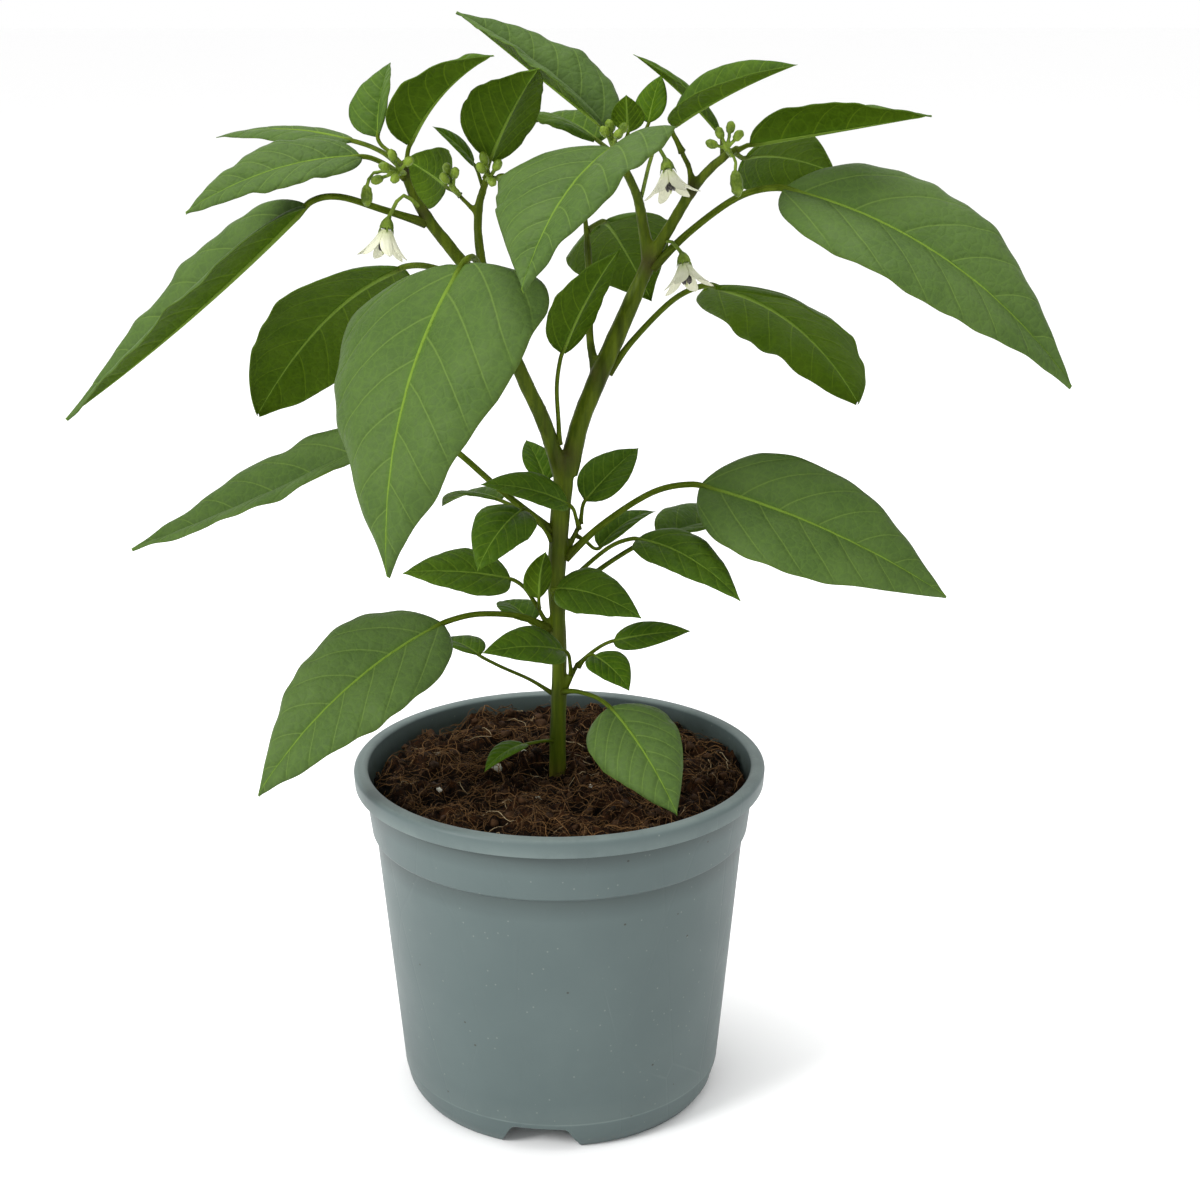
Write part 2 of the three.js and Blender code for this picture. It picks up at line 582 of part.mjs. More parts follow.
// At the end of each shoot young buds stand close together on one knob, and some have one that already
// hangs. shoot is on the branch, and foot is the middle of the knob.
const BUD_CLUSTERS = [
  {
    name: "buds_left_outer",
    shoot: [-56, -13, 385],
    foot: [-58, -23, 387],
    buds: [[-54, -28, 391], [-63, -27, 389], [-59, -30, 385], [-60, -25, 393], [-66, -25, 384]],
    hanging: { crest: [-68, -24, 386], at: [-70, -24, 382], facing: [0, -0.1, -1], length: 8,
      radius: 2.3 },
  },
  { name: "buds_left_inner", shoot: [-36, -2, 375], foot: [-39, -6, 379],
    buds: [[-42, -8, 383], [-38, -9, 385], [-41, -5, 386]] },
  { name: "buds_top", shoot: [23, -11, 392], foot: [21, -17, 396],
    buds: [[18, -20, 401], [23, -22, 400], [25, -18, 402], [20, -18, 403]] },
  {
    name: "buds_right",
    shoot: [66, -7, 391],
    foot: [64, -13, 394],
    buds: [[61, -15, 400], [65, -15, 402], [68, -15, 399], [58, -15, 396]],
    hanging: { crest: [67, -14, 390], at: [67, -14, 386], facing: [0.15, -0.1, -1], length: 10,
      radius: 2.6 },
  },
];

function makeBudCluster({ shoot, foot, buds, hanging }) {
  const point = vector(foot);
  const knob = stalk([[...shoot, 1], [...foot, 1.3], [...vector(foot).lerp(vector(buds[0]), 0.3), 0.9]], {
    sides: 7,
    steps: 4,
  });
  const young = buds.map((place) => {
    const centre = vector(place);
    const facing = centre.clone().sub(point).normalize();
    return makeBud({
      foot,
      at: centre.clone().addScaledVector(facing, -2.5).toArray(),
      facing: facing.toArray(),
      length: 5,
      radius: 1.8,
    });
  });
  return joined(hanging ? [knob, ...young, makeBud({ foot, ...hanging })] : [knob, ...young]);
}

// ---- Assembly ----

const MATERIALS = {
  pot: new THREE.MeshStandardMaterial({ color: 0x6b7f80, roughness: 0.55, metalness: 0 }),
  mix: new THREE.MeshStandardMaterial({ color: 0x4a2c1a, roughness: 1, metalness: 0 }),
  stem: new THREE.MeshStandardMaterial({ color: 0x5b6b22, roughness: 0.6, metalness: 0 }),
  leaf: new THREE.MeshStandardMaterial({ color: 0x3f6b2c, roughness: 0.5, metalness: 0 }),
  petal: new THREE.MeshStandardMaterial({ color: 0xefeedd, roughness: 0.6, metalness: 0 }),
  anther: new THREE.MeshStandardMaterial({ color: 0x3a3a40, roughness: 0.7, metalness: 0 }),
  bud: new THREE.MeshStandardMaterial({ color: 0x6f8f30, roughness: 0.6, metalness: 0 }),
};

const plant = new THREE.Group();
plant.name = "potted_sweet_pepper_plant";

function place(name, solid, material) {
  const mesh = new THREE.Mesh(geometryFrom(solid), MATERIALS[material]);
  mesh.name = name;
  plant.add(mesh);
}

const stemClearance = makeStem(GAP);
const placed = [stemClearance];

// A piece gives way to the stem and to every leaf already in place, with a gap.
function clearOfPlaced(solid) {
  return largestBody(placed.reduce((left, other) => left.subtract(other), solid));
}

place("pot", makePot(), "pot");
place("potting_mix", makeMix(stemClearance), "mix");
place("stem", makeStem(), "stem");
for (const leaf of LEAVES) {
  place(leaf.name, clearOfPlaced(makeLeaf(leaf)), "leaf");
  placed.push(makeLeaf(leaf, GAP));
}
for (const flower of FLOWERS) {
  place(`${flower.name}_calyx`, clearOfPlaced(makeCalyx(flower)), "bud");
  place(`${flower.name}_corolla`, clearOfPlaced(makeCorolla(flower)), "petal");
  place(`${flower.name}_stamens`, makeStamens(flower), "anther");
}
for (const cluster of BUD_CLUSTERS) {
  place(cluster.name, clearOfPlaced(makeBudCluster(cluster)), "bud");
}

export default plant;
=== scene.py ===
import math

import bmesh
import bpy
import numpy as np
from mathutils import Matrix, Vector, noise


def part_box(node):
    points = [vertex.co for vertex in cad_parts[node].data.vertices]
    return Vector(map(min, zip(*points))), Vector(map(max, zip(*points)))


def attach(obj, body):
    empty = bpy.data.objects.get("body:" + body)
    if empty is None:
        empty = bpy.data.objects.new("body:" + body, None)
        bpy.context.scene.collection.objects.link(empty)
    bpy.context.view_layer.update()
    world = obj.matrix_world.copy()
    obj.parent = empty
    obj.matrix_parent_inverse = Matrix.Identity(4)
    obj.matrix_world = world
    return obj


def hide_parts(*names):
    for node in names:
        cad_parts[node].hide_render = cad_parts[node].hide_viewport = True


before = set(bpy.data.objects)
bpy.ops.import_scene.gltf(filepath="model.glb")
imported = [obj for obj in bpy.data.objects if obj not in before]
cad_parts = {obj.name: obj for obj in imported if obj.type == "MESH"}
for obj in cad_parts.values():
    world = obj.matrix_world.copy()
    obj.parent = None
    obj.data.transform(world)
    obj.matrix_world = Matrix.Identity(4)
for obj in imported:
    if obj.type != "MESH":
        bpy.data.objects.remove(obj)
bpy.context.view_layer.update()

MM = 0.001
TURN = 2 * math.pi
loose = np.random.default_rng(20).uniform  # for the potting mix, whose pieces are drawn in one sequence


# ---- Mesh helpers ----

def add_to_scene(name, data):
    made = bpy.data.objects.new(name, data)
    bpy.context.scene.collection.objects.link(made)
    return made


def add_object(name, points, faces, material, smooth=True):
    mesh = bpy.data.meshes.new(name)
    mesh.from_pydata([tuple(p) for p in points], [], [tuple(int(i) for i in f) for f in faces])
    mesh.validate()
    mesh.update()
    mesh.polygons.foreach_set("use_smooth", np.full(len(mesh.polygons), smooth))
    mesh.materials.append(material)
    return add_to_scene(name, mesh)


def add_attribute(piece, name, values):
    values = np.asarray(values, np.float32)
    kind = "FLOAT_VECTOR" if values.ndim == 2 else "FLOAT"
    layer = piece.data.attributes.new(name, kind, "POINT")
    layer.data.foreach_set("vector" if values.ndim == 2 else "value", values.ravel())


def register(piece, slot, *nodes):
    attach(piece, "root")
    if nodes:
        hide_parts(*nodes)
    return piece


def points_of(name):
    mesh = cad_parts[name].data
    points = np.array([v.co for v in mesh.vertices], float)
    return points, [tuple(p.vertices) for p in mesh.polygons]


def welded(points, faces, step=1e-5):
    """The same mesh with each corner shared by its faces."""
    seen, order, kept = {}, [], []
    for p in points:
        key = tuple(np.round(p / step).astype(int))
        if key not in seen:
            seen[key] = len(kept)
            kept.append(p)
        order.append(seen[key])
    shared = [tuple(order[i] for i in f) for f in faces]
    return np.array(kept), [f for f in shared if len(set(f)) == len(f)]


def unit(v):
    v = np.asarray(v, float)
    return v / max(np.linalg.norm(v), 1e-12)


def smooth_path(points, count):
    """A smooth open curve through the points, evenly spaced in its own parameter (Catmull-Rom)."""
    p = np.asarray(points, float)
    p = np.vstack([2 * p[0] - p[1], p, 2 * p[-1] - p[-2]])
    out = []
    for x in np.linspace(0, len(p) - 3, count):
        i = min(int(x), len(p) - 4)
        f = x - i
        a, b, c, d = p[i:i + 4]
        out.append(0.5 * (2 * b + (c - a) * f + (2 * a - 5 * b + 4 * c - d) * f ** 2
                          + (3 * b - a - 3 * c + d) * f ** 3))
    return np.array(out)


def tube(path, radii, sides, normal=None, flatten=1.0, lobes=0.0):
    """A closed tube along the path: its points and faces. lobes cuts lengthwise grooves."""
    path = np.asarray(path, float)
    radii = np.broadcast_to(np.asarray(radii, float), len(path))
    tangents = np.gradient(path, axis=0)
    n = np.array([0, 0, 1.0]) if normal is None else np.asarray(normal, float)
    points, faces = [], []
    for k, (c, t) in enumerate(zip(path, tangents)):
        t = unit(t)
        n = n - t * (n @ t)
        if np.linalg.norm(n) < 1e-3:
            n = np.cross(t, [1, 0, 0])
        n = unit(n)
        side = np.cross(t, n)
        for j in range(sides):
            a = TURN * j / sides
            r = radii[k] * (1 + lobes * math.cos(5 * a))
            points.append(c + r * (math.cos(a) * side + flatten * math.sin(a) * n))
    last = (len(path) - 1) * sides
    for k in range(0, last, sides):
        faces += band(k, k + sides, sides)
    faces += [tuple(range(sides))[::-1], tuple(range(last, last + sides))]
    return np.array(points), faces


def band(low, high, sides):
    """The quads between two rings of points, whose first points have these numbers."""
    return [(low + j, low + (j + 1) % sides, high + (j + 1) % sides, high + j) for j in range(sides)]


def fan(middle, ring, sides):
    """The triangles that close a ring around a middle point."""
    return [(middle, ring + j, ring + (j + 1) % sides) for j in range(sides)]


def two_skins(rows, columns):
    """The faces of a thin sheet: a grid of points, the same grid again for its other side, and the rim."""
    n = rows * columns
    index = np.arange(n).reshape(rows, columns)
    a, b, c, d = (x.ravel() for x in (index[:-1, :-1], index[:-1, 1:], index[1:, 1:], index[1:, :-1]))
    faces = list(zip(a, b, c, d)) + list(zip(a + n, d + n, c + n, b + n))
    rim = list(index[0, :]) + list(index[1:, -1]) + list(index[-1, -2::-1]) + list(index[-2:0:-1, 0])
    return faces + [(t, h, h + n, t + n) for h, t in zip(rim, rim[1:] + rim[:1])]


def read_points(mesh, what="co"):
    """Every vertex's place, or its normal, as rows of three."""
    values = np.zeros(len(mesh.vertices) * 3)
    mesh.vertices.foreach_get(what, values)
    return values.reshape(-1, 3)


def move_points(mesh, points):
    mesh.vertices.foreach_set("co", points.ravel())
    mesh.update()


def apply_modifiers(piece):
    """The piece's mesh as its modifiers leave it, smooth shaded, in place of the one it had."""
    bpy.context.view_layer.update()
    made = bpy.data.meshes.new_from_object(piece.evaluated_get(bpy.context.evaluated_depsgraph_get()))
    piece.modifiers.clear()
    piece.data = made
    made.name = piece.name
    made.polygons.foreach_set("use_smooth", np.ones(len(made.polygons), bool))
    return made


class Pile:
    """Collects several closed shells into one piece."""

    def __init__(self):
        self.points, self.faces, self.values, self.count = [], [], [], 0

    def add(self, points, faces, value=0.0):
        self.points.append(np.asarray(points, float))
        self.faces += [tuple(i + self.count for i in f) for f in faces]
        self.values.append(np.full(len(points), float(value)))
        self.count += len(points)

    def build(self, name, material, attribute=None):
        piece = add_object(name, np.vstack(self.points), self.faces, material)
        if attribute:
            add_attribute(piece, attribute, np.concatenate(self.values))
        return piece


def bumpiness(x, y, z):
    return noise.noise(Vector((x, y, z)))


def turbulence(p, scale, octaves=3):
    return noise.fractal(Vector(p) * scale, 0.9, 2.1, octaves)


# ---- Materials ----

class Shader:
    """A small builder of node materials. Most methods add a node and return one of its outputs."""

    def __init__(self, name, roughness=0.5, specular=0.5):
        self.material = bpy.data.materials.new(name)
        self.material.use_nodes = True
        self.tree = self.material.node_tree
        self.out = self.tree.nodes["Principled BSDF"]
        self.out.inputs["Roughness"].default_value = roughness
        self.out.inputs["Specular IOR Level"].default_value = specular
        self.bumps = None

    def node(self, kind, **settings):
        """A new node. A setting is one of its sockets if it has one of that name, and else a property."""
        made = self.tree.nodes.new(kind)
        for key, value in settings.items():
            if key in made.inputs:
                self.feed(made.inputs[key], value)
            else:
                setattr(made, key, value)
        return made

    def feed(self, socket, value):
        if isinstance(value, bpy.types.NodeSocket):
            self.tree.links.new(value, socket)
        elif isinstance(value, (tuple, list)) and len(value) == 3 and socket.type == "RGBA":
            socket.default_value = (*value, 1)
        else:
            socket.default_value = value

    def math(self, operation, a, b=0.0, c=0.0, clamp=False):
        made = self.node("ShaderNodeMath", operation=operation, use_clamp=clamp)
        for socket, value in zip(made.inputs, (a, b, c)):
            self.feed(socket, value)
        return made.outputs[0]

    def attribute(self, name, output="Fac"):
        return self.node("ShaderNodeAttribute", attribute_name=name).outputs[output]

    def split(self, vector):
        return self.node("ShaderNodeSeparateXYZ", Vector=vector).outputs

    def place(self, scale=(1, 1, 1), source=None):
        if source is None:
            source = self.node("ShaderNodeTexCoord").outputs["Object"]
        return self.node("ShaderNodeMapping", Vector=source, Scale=scale).outputs[0]

    def noise(self, scale, detail=3.0, roughness=0.5, vector=None):
        return self.node("ShaderNodeTexNoise", Scale=scale, Detail=detail, Roughness=roughness,
                         Vector=vector or self.place()).outputs["Fac"]

    def cells(self, scale, feature="F1", vector=None):
        return self.node("ShaderNodeTexVoronoi", feature=feature, Scale=scale,
                         Vector=vector or self.place()).outputs["Distance"]

    def ramp(self, value, low, high, start=0.0, end=1.0):
        made = self.node("ShaderNodeMapRange", interpolation_type="SMOOTHSTEP", Value=value)
        for key, v in {"From Min": low, "From Max": high, "To Min": start, "To Max": end}.items():
            self.feed(made.inputs[key], v)
        return made.outputs[0]

    def mix(self, factor, a, b):
        made = self.node("ShaderNodeMix", data_type="RGBA")
        for socket, value in ((made.inputs[0], factor), (made.inputs[6], a), (made.inputs[7], b)):
            self.feed(socket, value)
        return made.outputs[2]

    def tint(self, colour, target, mask, share):
        """The colour, moved towards the target by this share of the mask."""
        return self.mix(self.math("MULTIPLY", mask, share), colour, target)

    def blotch(self, colour, target, value, low, high, start, end):
        """The colour, moved towards the target where the value lies in this range."""
        return self.mix(self.ramp(value, low, high, start, end), colour, target)

    def bump(self, height, distance, strength):
        """Adds to the bumps so far. The distance is in metres."""
        made = self.node("ShaderNodeBump", Strength=strength, Distance=distance, Height=height)
        if self.bumps is not None:
            self.feed(made.inputs["Normal"], self.bumps)
        self.bumps = made.outputs[0]

    def finish(self, colour, roughness=None):
        self.feed(self.out.inputs["Base Color"], colour)
        if roughness is not None:
            self.feed(self.out.inputs["Roughness"], roughness)
        if self.bumps is not None:
            self.feed(self.out.inputs["Normal"], self.bumps)
        return self.material


def leaf_material():
    s = Shader("leaf_blade", roughness=0.5, specular=0.045)
    flat = s.attribute("blade_mm", "Vector")
    across = s.split(flat)[1]
    phase, phase_mm, station = s.split(s.attribute("blade_vein", "Vector"))
    upper, sheen_to_shade, young = s.split(s.attribute("blade_kind", "Vector"))
    rib_mm, stalk, margin = s.split(s.attribute("blade_rib", "Vector"))

    offset = s.math("ABSOLUTE", across)
    in_ribs = s.math("DIVIDE", offset, rib_mm)
    middle = s.ramp(s.math("SUBTRACT", 1.0, in_ribs, clamp=True), 0.0, 0.5)
    glow = s.ramp(in_ribs, 1.0, 4.0, 1.0, 0.0)
    from_vein = s.math("MULTIPLY", s.math("PINGPONG", phase, 0.5), phase_mm)
    vein_width = s.math("MULTIPLY_ADD", rib_mm, 0.28, 0.1)
    vein = s.ramp(s.math("DIVIDE", from_vein, vein_width), 0.35, 1.5, 1.0, 0.0)
    vein = s.math("MULTIPLY", vein, s.ramp(margin, 0.75, 1.0, 1.0, 0.25))
    coarse = s.cells(0.27, "DISTANCE_TO_EDGE", flat)
    web = s.ramp(coarse, 0.0, 0.1, 1.0, 0.0)
    fine = s.cells(0.9, "DISTANCE_TO_EDGE", flat)
    fine_web = s.ramp(fine, 0.0, 0.12, 1.0, 0.0)
    patch = s.noise(0.05, 4.0, 0.6, flat)
    patchy = s.ramp(patch, 0.3, 0.7)
    mottle = s.noise(0.45, 3.0, 0.6, flat)

    # Upper faces: a greyish green with painted sheen of the overhead light, mixed leaf by leaf with a darker
    # green of painted shade.
    sheened_green = s.mix(patchy, (0.049, 0.086, 0.022), (0.064, 0.106, 0.029))
    shaded_green = s.mix(patchy, (0.025, 0.060, 0.001), (0.043, 0.086, 0.001))
    top = s.mix(sheen_to_shade, sheened_green, shaded_green)
    fresh = s.mix(patchy, (0.025, 0.068, 0.001), (0.044, 0.100, 0.002))
    top = s.mix(s.math("MULTIPLY", young, 0.75), top, fresh)
    # The underside's green is painted darker than its own lighter colour, as shade.
    under = s.mix(patchy, (0.028, 0.059, 0.001), (0.044, 0.081, 0.003))
    colour = s.mix(upper, under, top)
    # The lighter marks and veins are mixed greyer, with more blue, on upper faces that carry painted sheen.
    sheen_free = s.math("MAXIMUM", s.math("MAXIMUM", sheen_to_shade, young), s.math("SUBTRACT", 1.0, upper))
    light = s.mix(sheen_free, (0.080, 0.140, 0.026), (0.068, 0.128, 0.004))
    vein_light = s.mix(sheen_free, (0.108, 0.172, 0.036), (0.088, 0.150, 0.006))
    colour = s.tint(colour, light, s.ramp(mottle, 0.35, 0.75), 0.26)
    shadow = s.ramp(from_vein, 0.3, 2.2, 1.0, 0.0)
    colour = s.tint(colour, (0.026, 0.052, 0.003), shadow, 0.14)
    colour = s.tint(colour, light, fine_web, 0.10)
    colour = s.tint(colour, light, web, 0.26)
    colour = s.tint(colour, (0.061, 0.134, 0.009), glow, 0.22)
    colour = s.tint(colour, vein_light, vein, 0.6)
    colour = s.tint(colour, (0.131, 0.210, 0.025), middle, 0.85)
    colour = s.blotch(colour, (0.090, 0.143, 0.019), margin, 0.955, 1.0, 0.0, 0.3)
    stalk_streaks = s.noise(0.8, 3.0, 0.5, s.place((0.25, 1, 1), flat))
    stalk_colour = s.mix(s.ramp(stalk_streaks, 0.3, 0.7), (0.041, 0.067, 0.002), (0.078, 0.113, 0.007))
    stalk_colour = s.mix(s.ramp(station, 0.0, 0.16, 0.55, 0.0), stalk_colour, (0.030, 0.032, 0.005))
    colour = s.mix(stalk, colour, stalk_colour)

    s.bump(fine, 0.00010, 0.35)
    s.bump(s.ramp(from_vein, 0.0, 2.0), 0.0004, 0.6)
    s.bump(s.ramp(coarse, 0.0, 0.25), 0.00022, 0.45)
    s.bump(mottle, 0.0005, 0.6)
    s.bump(patch, 0.0016, 0.5)
    rough = s.math("MULTIPLY_ADD", mottle, 0.18, 0.40)
    rough = s.math("ADD", rough, s.math("MULTIPLY", s.math("SUBTRACT", 1.0, upper), 0.12))
    return s.finish(colour, rough)


def stem_material():
    s = Shader("plant_stem", specular=0.08)
    dark = s.attribute("node_dark")
    low = s.attribute("wood")
    long_grain = s.noise(420, 4.0, 0.6, s.place((1, 1, 0.07)))
    ridges = s.noise(260, 1.0, 0.4, s.place((1, 1, 0.03)))
    patches = s.noise(60, 3.0, 0.6)
    green = s.mix(s.ramp(long_grain, 0.3, 0.72), (0.034, 0.056, 0.001), (0.074, 0.104, 0.004))
    green = s.blotch(green, (0.019, 0.026, 0.001), ridges, 0.55, 0.68, 0.0, 0.5)
    green = s.blotch(green, (0.074, 0.102, 0.006), patches, 0.45, 0.75, 0.0, 0.35)
    purple = s.mix(s.ramp(patches, 0.35, 0.65), (0.014, 0.009, 0.006), (0.040, 0.028, 0.011))
    colour = s.mix(s.math("MULTIPLY", dark, s.ramp(long_grain, 0.3, 0.6, 0.45, 1.0)), green, purple)
    bark = s.mix(s.ramp(long_grain, 0.3, 0.7), (0.043, 0.039, 0.005), (0.104, 0.093, 0.013))
    colour = s.mix(low, colour, bark)
    s.bump(long_grain, 0.0003, 0.5)
    s.bump(ridges, 0.0008, 0.55)
    return s.finish(colour, s.math("MULTIPLY_ADD", patches, 0.25, 0.36))


def bud_material():
    s = Shader("bud_green", specular=0.2)
    grain = s.noise(900, 3.0, 0.6)
    patch = s.noise(220, 3.0, 0.5)
    colour = s.mix(s.ramp(patch, 0.35, 0.65), (0.060, 0.105, 0.004), (0.14, 0.21, 0.015))
    colour = s.tint(colour, (0.20, 0.27, 0.04), s.ramp(grain, 0.4, 0.7), 0.35)
    s.bump(grain, 0.00015, 0.5)
    return s.finish(colour, s.math("MULTIPLY_ADD", patch, 0.2, 0.38))


def petal_material():
    s = Shader("petal_white", roughness=0.55, specular=0.3)
    s.out.inputs["Sheen Weight"].default_value = 0.12
    along = s.split(s.attribute("petal", "Vector"))[1]
    lines = s.node("ShaderNodeTexWave", wave_type="BANDS", bands_direction="X", Scale=2.4, Distortion=1.5,
                   Vector=s.place((1, 0.12, 1), s.attribute("petal", "Vector"))).outputs["Fac"]
    colour = s.mix(s.ramp(lines, 0.2, 0.9), (0.66, 0.66, 0.46), (0.74, 0.74, 0.58))
    colour = s.blotch(colour, (0.50, 0.56, 0.24), along, 0.0, 0.45, 0.7, 0.0)
    colour = s.blotch(colour, (0.80, 0.80, 0.68), s.noise(500, 3.0), 0.45, 0.75, 0.0, 0.35)
    s.bump(lines, 0.0002, 0.5)
    return s.finish(colour)


def anther_material():
    s = Shader("anther", roughness=0.7, specular=0.25)
    tip = s.attribute("stamen")
    grain = s.noise(1500, 3.0, 0.6)
    dark = s.mix(s.ramp(grain, 0.35, 0.65), (0.030, 0.028, 0.040), (0.13, 0.12, 0.10))
    pale = s.mix(s.ramp(grain, 0.35, 0.65), (0.45, 0.50, 0.22), (0.66, 0.68, 0.40))
    s.bump(grain, 0.0002, 0.6)
    return s.finish(s.mix(tip, pale, dark))


def pot_material():
    s = Shader("pot_plastic", specular=0.25)
    soft = s.noise(14, 4.0, 0.6)
    cloud = s.noise(45, 5.0, 0.65)
    grain = s.noise(1600, 2.0, 0.6)
    lines = s.noise(120, 3.0, 0.6, s.place((1, 1, 0.10)))
    hoops = s.noise(90, 3.0, 0.6, s.place((0.10, 0.10, 1.6)))
    colour = s.mix(s.ramp(soft, 0.3, 0.7), (0.074, 0.101, 0.100), (0.083, 0.112, 0.110))
    colour = s.blotch(colour, (0.096, 0.127, 0.123), cloud, 0.5, 0.8, 0.0, 0.22)
    colour = s.blotch(colour, (0.110, 0.140, 0.136), lines, 0.64, 0.8, 0.0, 0.16)
    colour = s.blotch(colour, (0.063, 0.085, 0.085), hoops, 0.64, 0.8, 0.0, 0.2)
    specks = s.cells(210, "F1")
    colour = s.blotch(colour, (0.147, 0.177, 0.162), specks, 0.05, 0.10, 0.8, 0.0)
    dirt = s.cells(95, "F1", s.place((1, 1, 1.15)))
    colour = s.blotch(colour, (0.033, 0.029, 0.022), dirt, 0.03, 0.065, 0.85, 0.0)
    scratch = s.cells(34, "DISTANCE_TO_EDGE", s.place((1, 1, 0.35)))
    chance = s.ramp(s.noise(24, 2.0), 0.55, 0.68)
    scratched = s.ramp(scratch, 0.0, 0.009, 0.25, 0.0)
    colour = s.tint(colour, (0.140, 0.173, 0.166), scratched, chance)
    # Lighter along the rim's top, the skirt's lower edge and the foot: partly wear, partly painted highlight.
    wear_and_highlight = s.attribute("wear_and_highlight")
    colour = s.tint(colour, (0.140, 0.177, 0.169), wear_and_highlight, s.ramp(cloud, 0.35, 0.6, 0.35, 0.9))
    # Painted shade: darker on the collar under the rim's skirt and under the collar's step.
    colour = s.tint(colour, (0.026, 0.033, 0.031), s.attribute("recess_shade"), 0.6)
    # The inner wall above the mix darkens downwards: partly soil stain, partly painted shade.
    inside = s.attribute("soil_stain_and_shade")
    stain_and_shade = s.math("MULTIPLY", inside, s.ramp(cloud, 0.35, 0.7, 0.45, 0.95))
    colour = s.mix(stain_and_shade, colour, (0.026, 0.030, 0.018))
    s.bump(grain, 0.00006, 0.3)
    s.bump(cloud, 0.00035, 0.16)
    s.bump(s.ramp(scratch, 0.0, 0.02), 0.00008, 0.4)
    rough = s.math("MULTIPLY_ADD", cloud, 0.20, 0.37)
    return s.finish(colour, rough)


def mix_material():
    s = Shader("potting_mix_earth", roughness=0.9, specular=0.07)
    depth = s.attribute("depth")
    crumbs = s.noise(700, 6.0, 0.75)
    lumps = s.noise(170, 5.0, 0.65)
    strand = s.noise(900, 4.0, 0.7, s.place((1, 0.22, 0.6)))
    colour = s.mix(s.ramp(crumbs, 0.42, 0.68), (0.003, 0.0015, 0.001), (0.040, 0.016, 0.005))
    colour = s.blotch(colour, (0.064, 0.024, 0.007), lumps, 0.45, 0.7, 0.0, 0.6)
    colour = s.blotch(colour, (0.111, 0.045, 0.014), strand, 0.58, 0.72, 0.0, 0.6)
    # Painted shade: the mix turns nearly black in its low hollows.
    colour = s.blotch(colour, (0.003, 0.002, 0.001), depth, 0.0, 1.0, 0.92, 0.0)
    s.bump(crumbs, 0.0012, 0.9)
    s.bump(strand, 0.0008, 0.8)
    s.bump(lumps, 0.0016, 0.7)
    return s.finish(colour, s.math("MULTIPLY_ADD", crumbs, 0.25, 0.70))


def strand_material(name, dark, light, pale):
    s = Shader(name, roughness=0.75, specular=0.12)
    shade = s.attribute("shade")
    grain = s.noise(1800, 3.0, 0.6)
    colour = s.mix(shade, dark, light)
    colour = s.tint(colour, pale, s.ramp(grain, 0.45, 0.75), 0.5)
    s.bump(grain, 0.00025, 0.6)
    return s.finish(colour)


LEAF = leaf_material()
STEM = stem_material()
BUD = bud_material()
PETAL = petal_material()
ANTHER = anther_material()
POT = pot_material()
MIX = mix_material()
FIBRE = strand_material("coir_fibre", (0.012, 0.005, 0.002), (0.135, 0.066, 0.022), (0.36, 0.225, 0.10))
ROOTLET = strand_material("rootlet", (0.20, 0.14, 0.07), (0.42, 0.33, 0.19), (0.58, 0.50, 0.34))
CLOD = strand_material("peat_clod", (0.004, 0.002, 0.001), (0.048, 0.022, 0.008), (0.09, 0.046, 0.018))
PERLITE = strand_material("perlite", (0.28, 0.29, 0.22), (0.62, 0.60, 0.52), (0.75, 0.74, 0.68))


# ---- Leaves ----

# The rings of a CAD blade, and the points of its midrib here, as shares of its length from base to tip.
STATIONS = np.array([0.05, 0.14, 0.26, 0.4, 0.56, 0.72, 0.86, 0.95])
RIB_STATIONS = [0.06, 0.2, 0.36, 0.54, 0.72, 0.86, 0.955]
HALF_SKIN = 0.20  # half a blade's thickness at its edge, in millimetres
TOP_TO_MIDDLE = 0.35  # in a CAD blade, in millimetres


LEAF_FORM = {  # how full the blade's base is, and how blunt its end, as in the CAD
    "leaf_front_large": (0.28, 1.05), "leaf_top_front": (0.3, 1.05),
    "leaf_left_back_hanging": (0.55, 0.75), "leaf_right_back_hanging": (0.55, 0.75),
}


def blade_width(s, form):
    shoulder, taper = form
    s = np.clip(s, 1e-4, 1 - 1e-4)
    widest = shoulder / (shoulder + taper)
    return (s ** shoulder * (1 - s) ** taper) / (widest ** shoulder * (1 - widest) ** taper)


def outline(s, form):
    """The blade's half-width along it: drawn out to a narrow tip, and running a little way down the stalk."""
    tip = 1 - 0.34 * np.exp(-(1 - s) / 0.055)
    foot = 1 - 0.30 * np.exp(-s / 0.02)
    return blade_width(s, form) * tip * foot


def read_rings(points, faces):
    """A leaf node's tip, its rings from the tip down, and the points left over at its foot.

    A ring's six points come in the order left, left middle, top, right middle, right, underneath. The tip is
    the one point from which such rings can be followed, one after another, into the broad part of a blade."""
    near = [set() for _ in points]
    for f in faces:
        for a in f:
            near[a].update(b for b in f if b != a)
    best = None
    for start, around in enumerate(near):
        if len(around) != 6:
            continue
        seen, layer, rings = {start}, {start}, []
        while True:
            following = set().union(*[near[v] for v in layer]) - seen
            links = {v: near[v] & following for v in following}
            if len(following) != 6 or any(len(x) != 2 for x in links.values()):
                break
            rings.append((sorted(following), links))
            seen |= following
            layer = following
        if len(rings) < 5:
            continue
        spans = [max(np.linalg.norm(points[a] - points[b]) for a in ring for b in ring) for ring, _ in rings]
        score = spans[3] + spans[4]
        if best is None or score > best[0]:
            best = (score, start, rings, seen)
    _, start, rings, seen = best
    ordered, before = [], points[start]
    for ring, links in rings:
        cycle = [ring[0]]
        while len(cycle) < 6:
            cycle.append([v for v in links[cycle[-1]] if v not in cycle][0])
        q = points[cycle]
        under = int(np.argmax([np.linalg.norm(q[i - 1] - q[(i + 1) % 6]) for i in range(6)]))
        q = q[[(under + k) % 6 for k in range(1, 7)]]
        centre = (q[0] + q[4]) / 2
        right = np.cross(before - centre, q[2] - q[5])
        if (q[4] - q[0]) @ right < 0:
            q = q[[4, 3, 2, 1, 0, 5]]
        ordered.append(q)
        before = centre
    rest = [i for i in range(len(points)) if i not in seen]
    return points[start], ordered, points[rest]


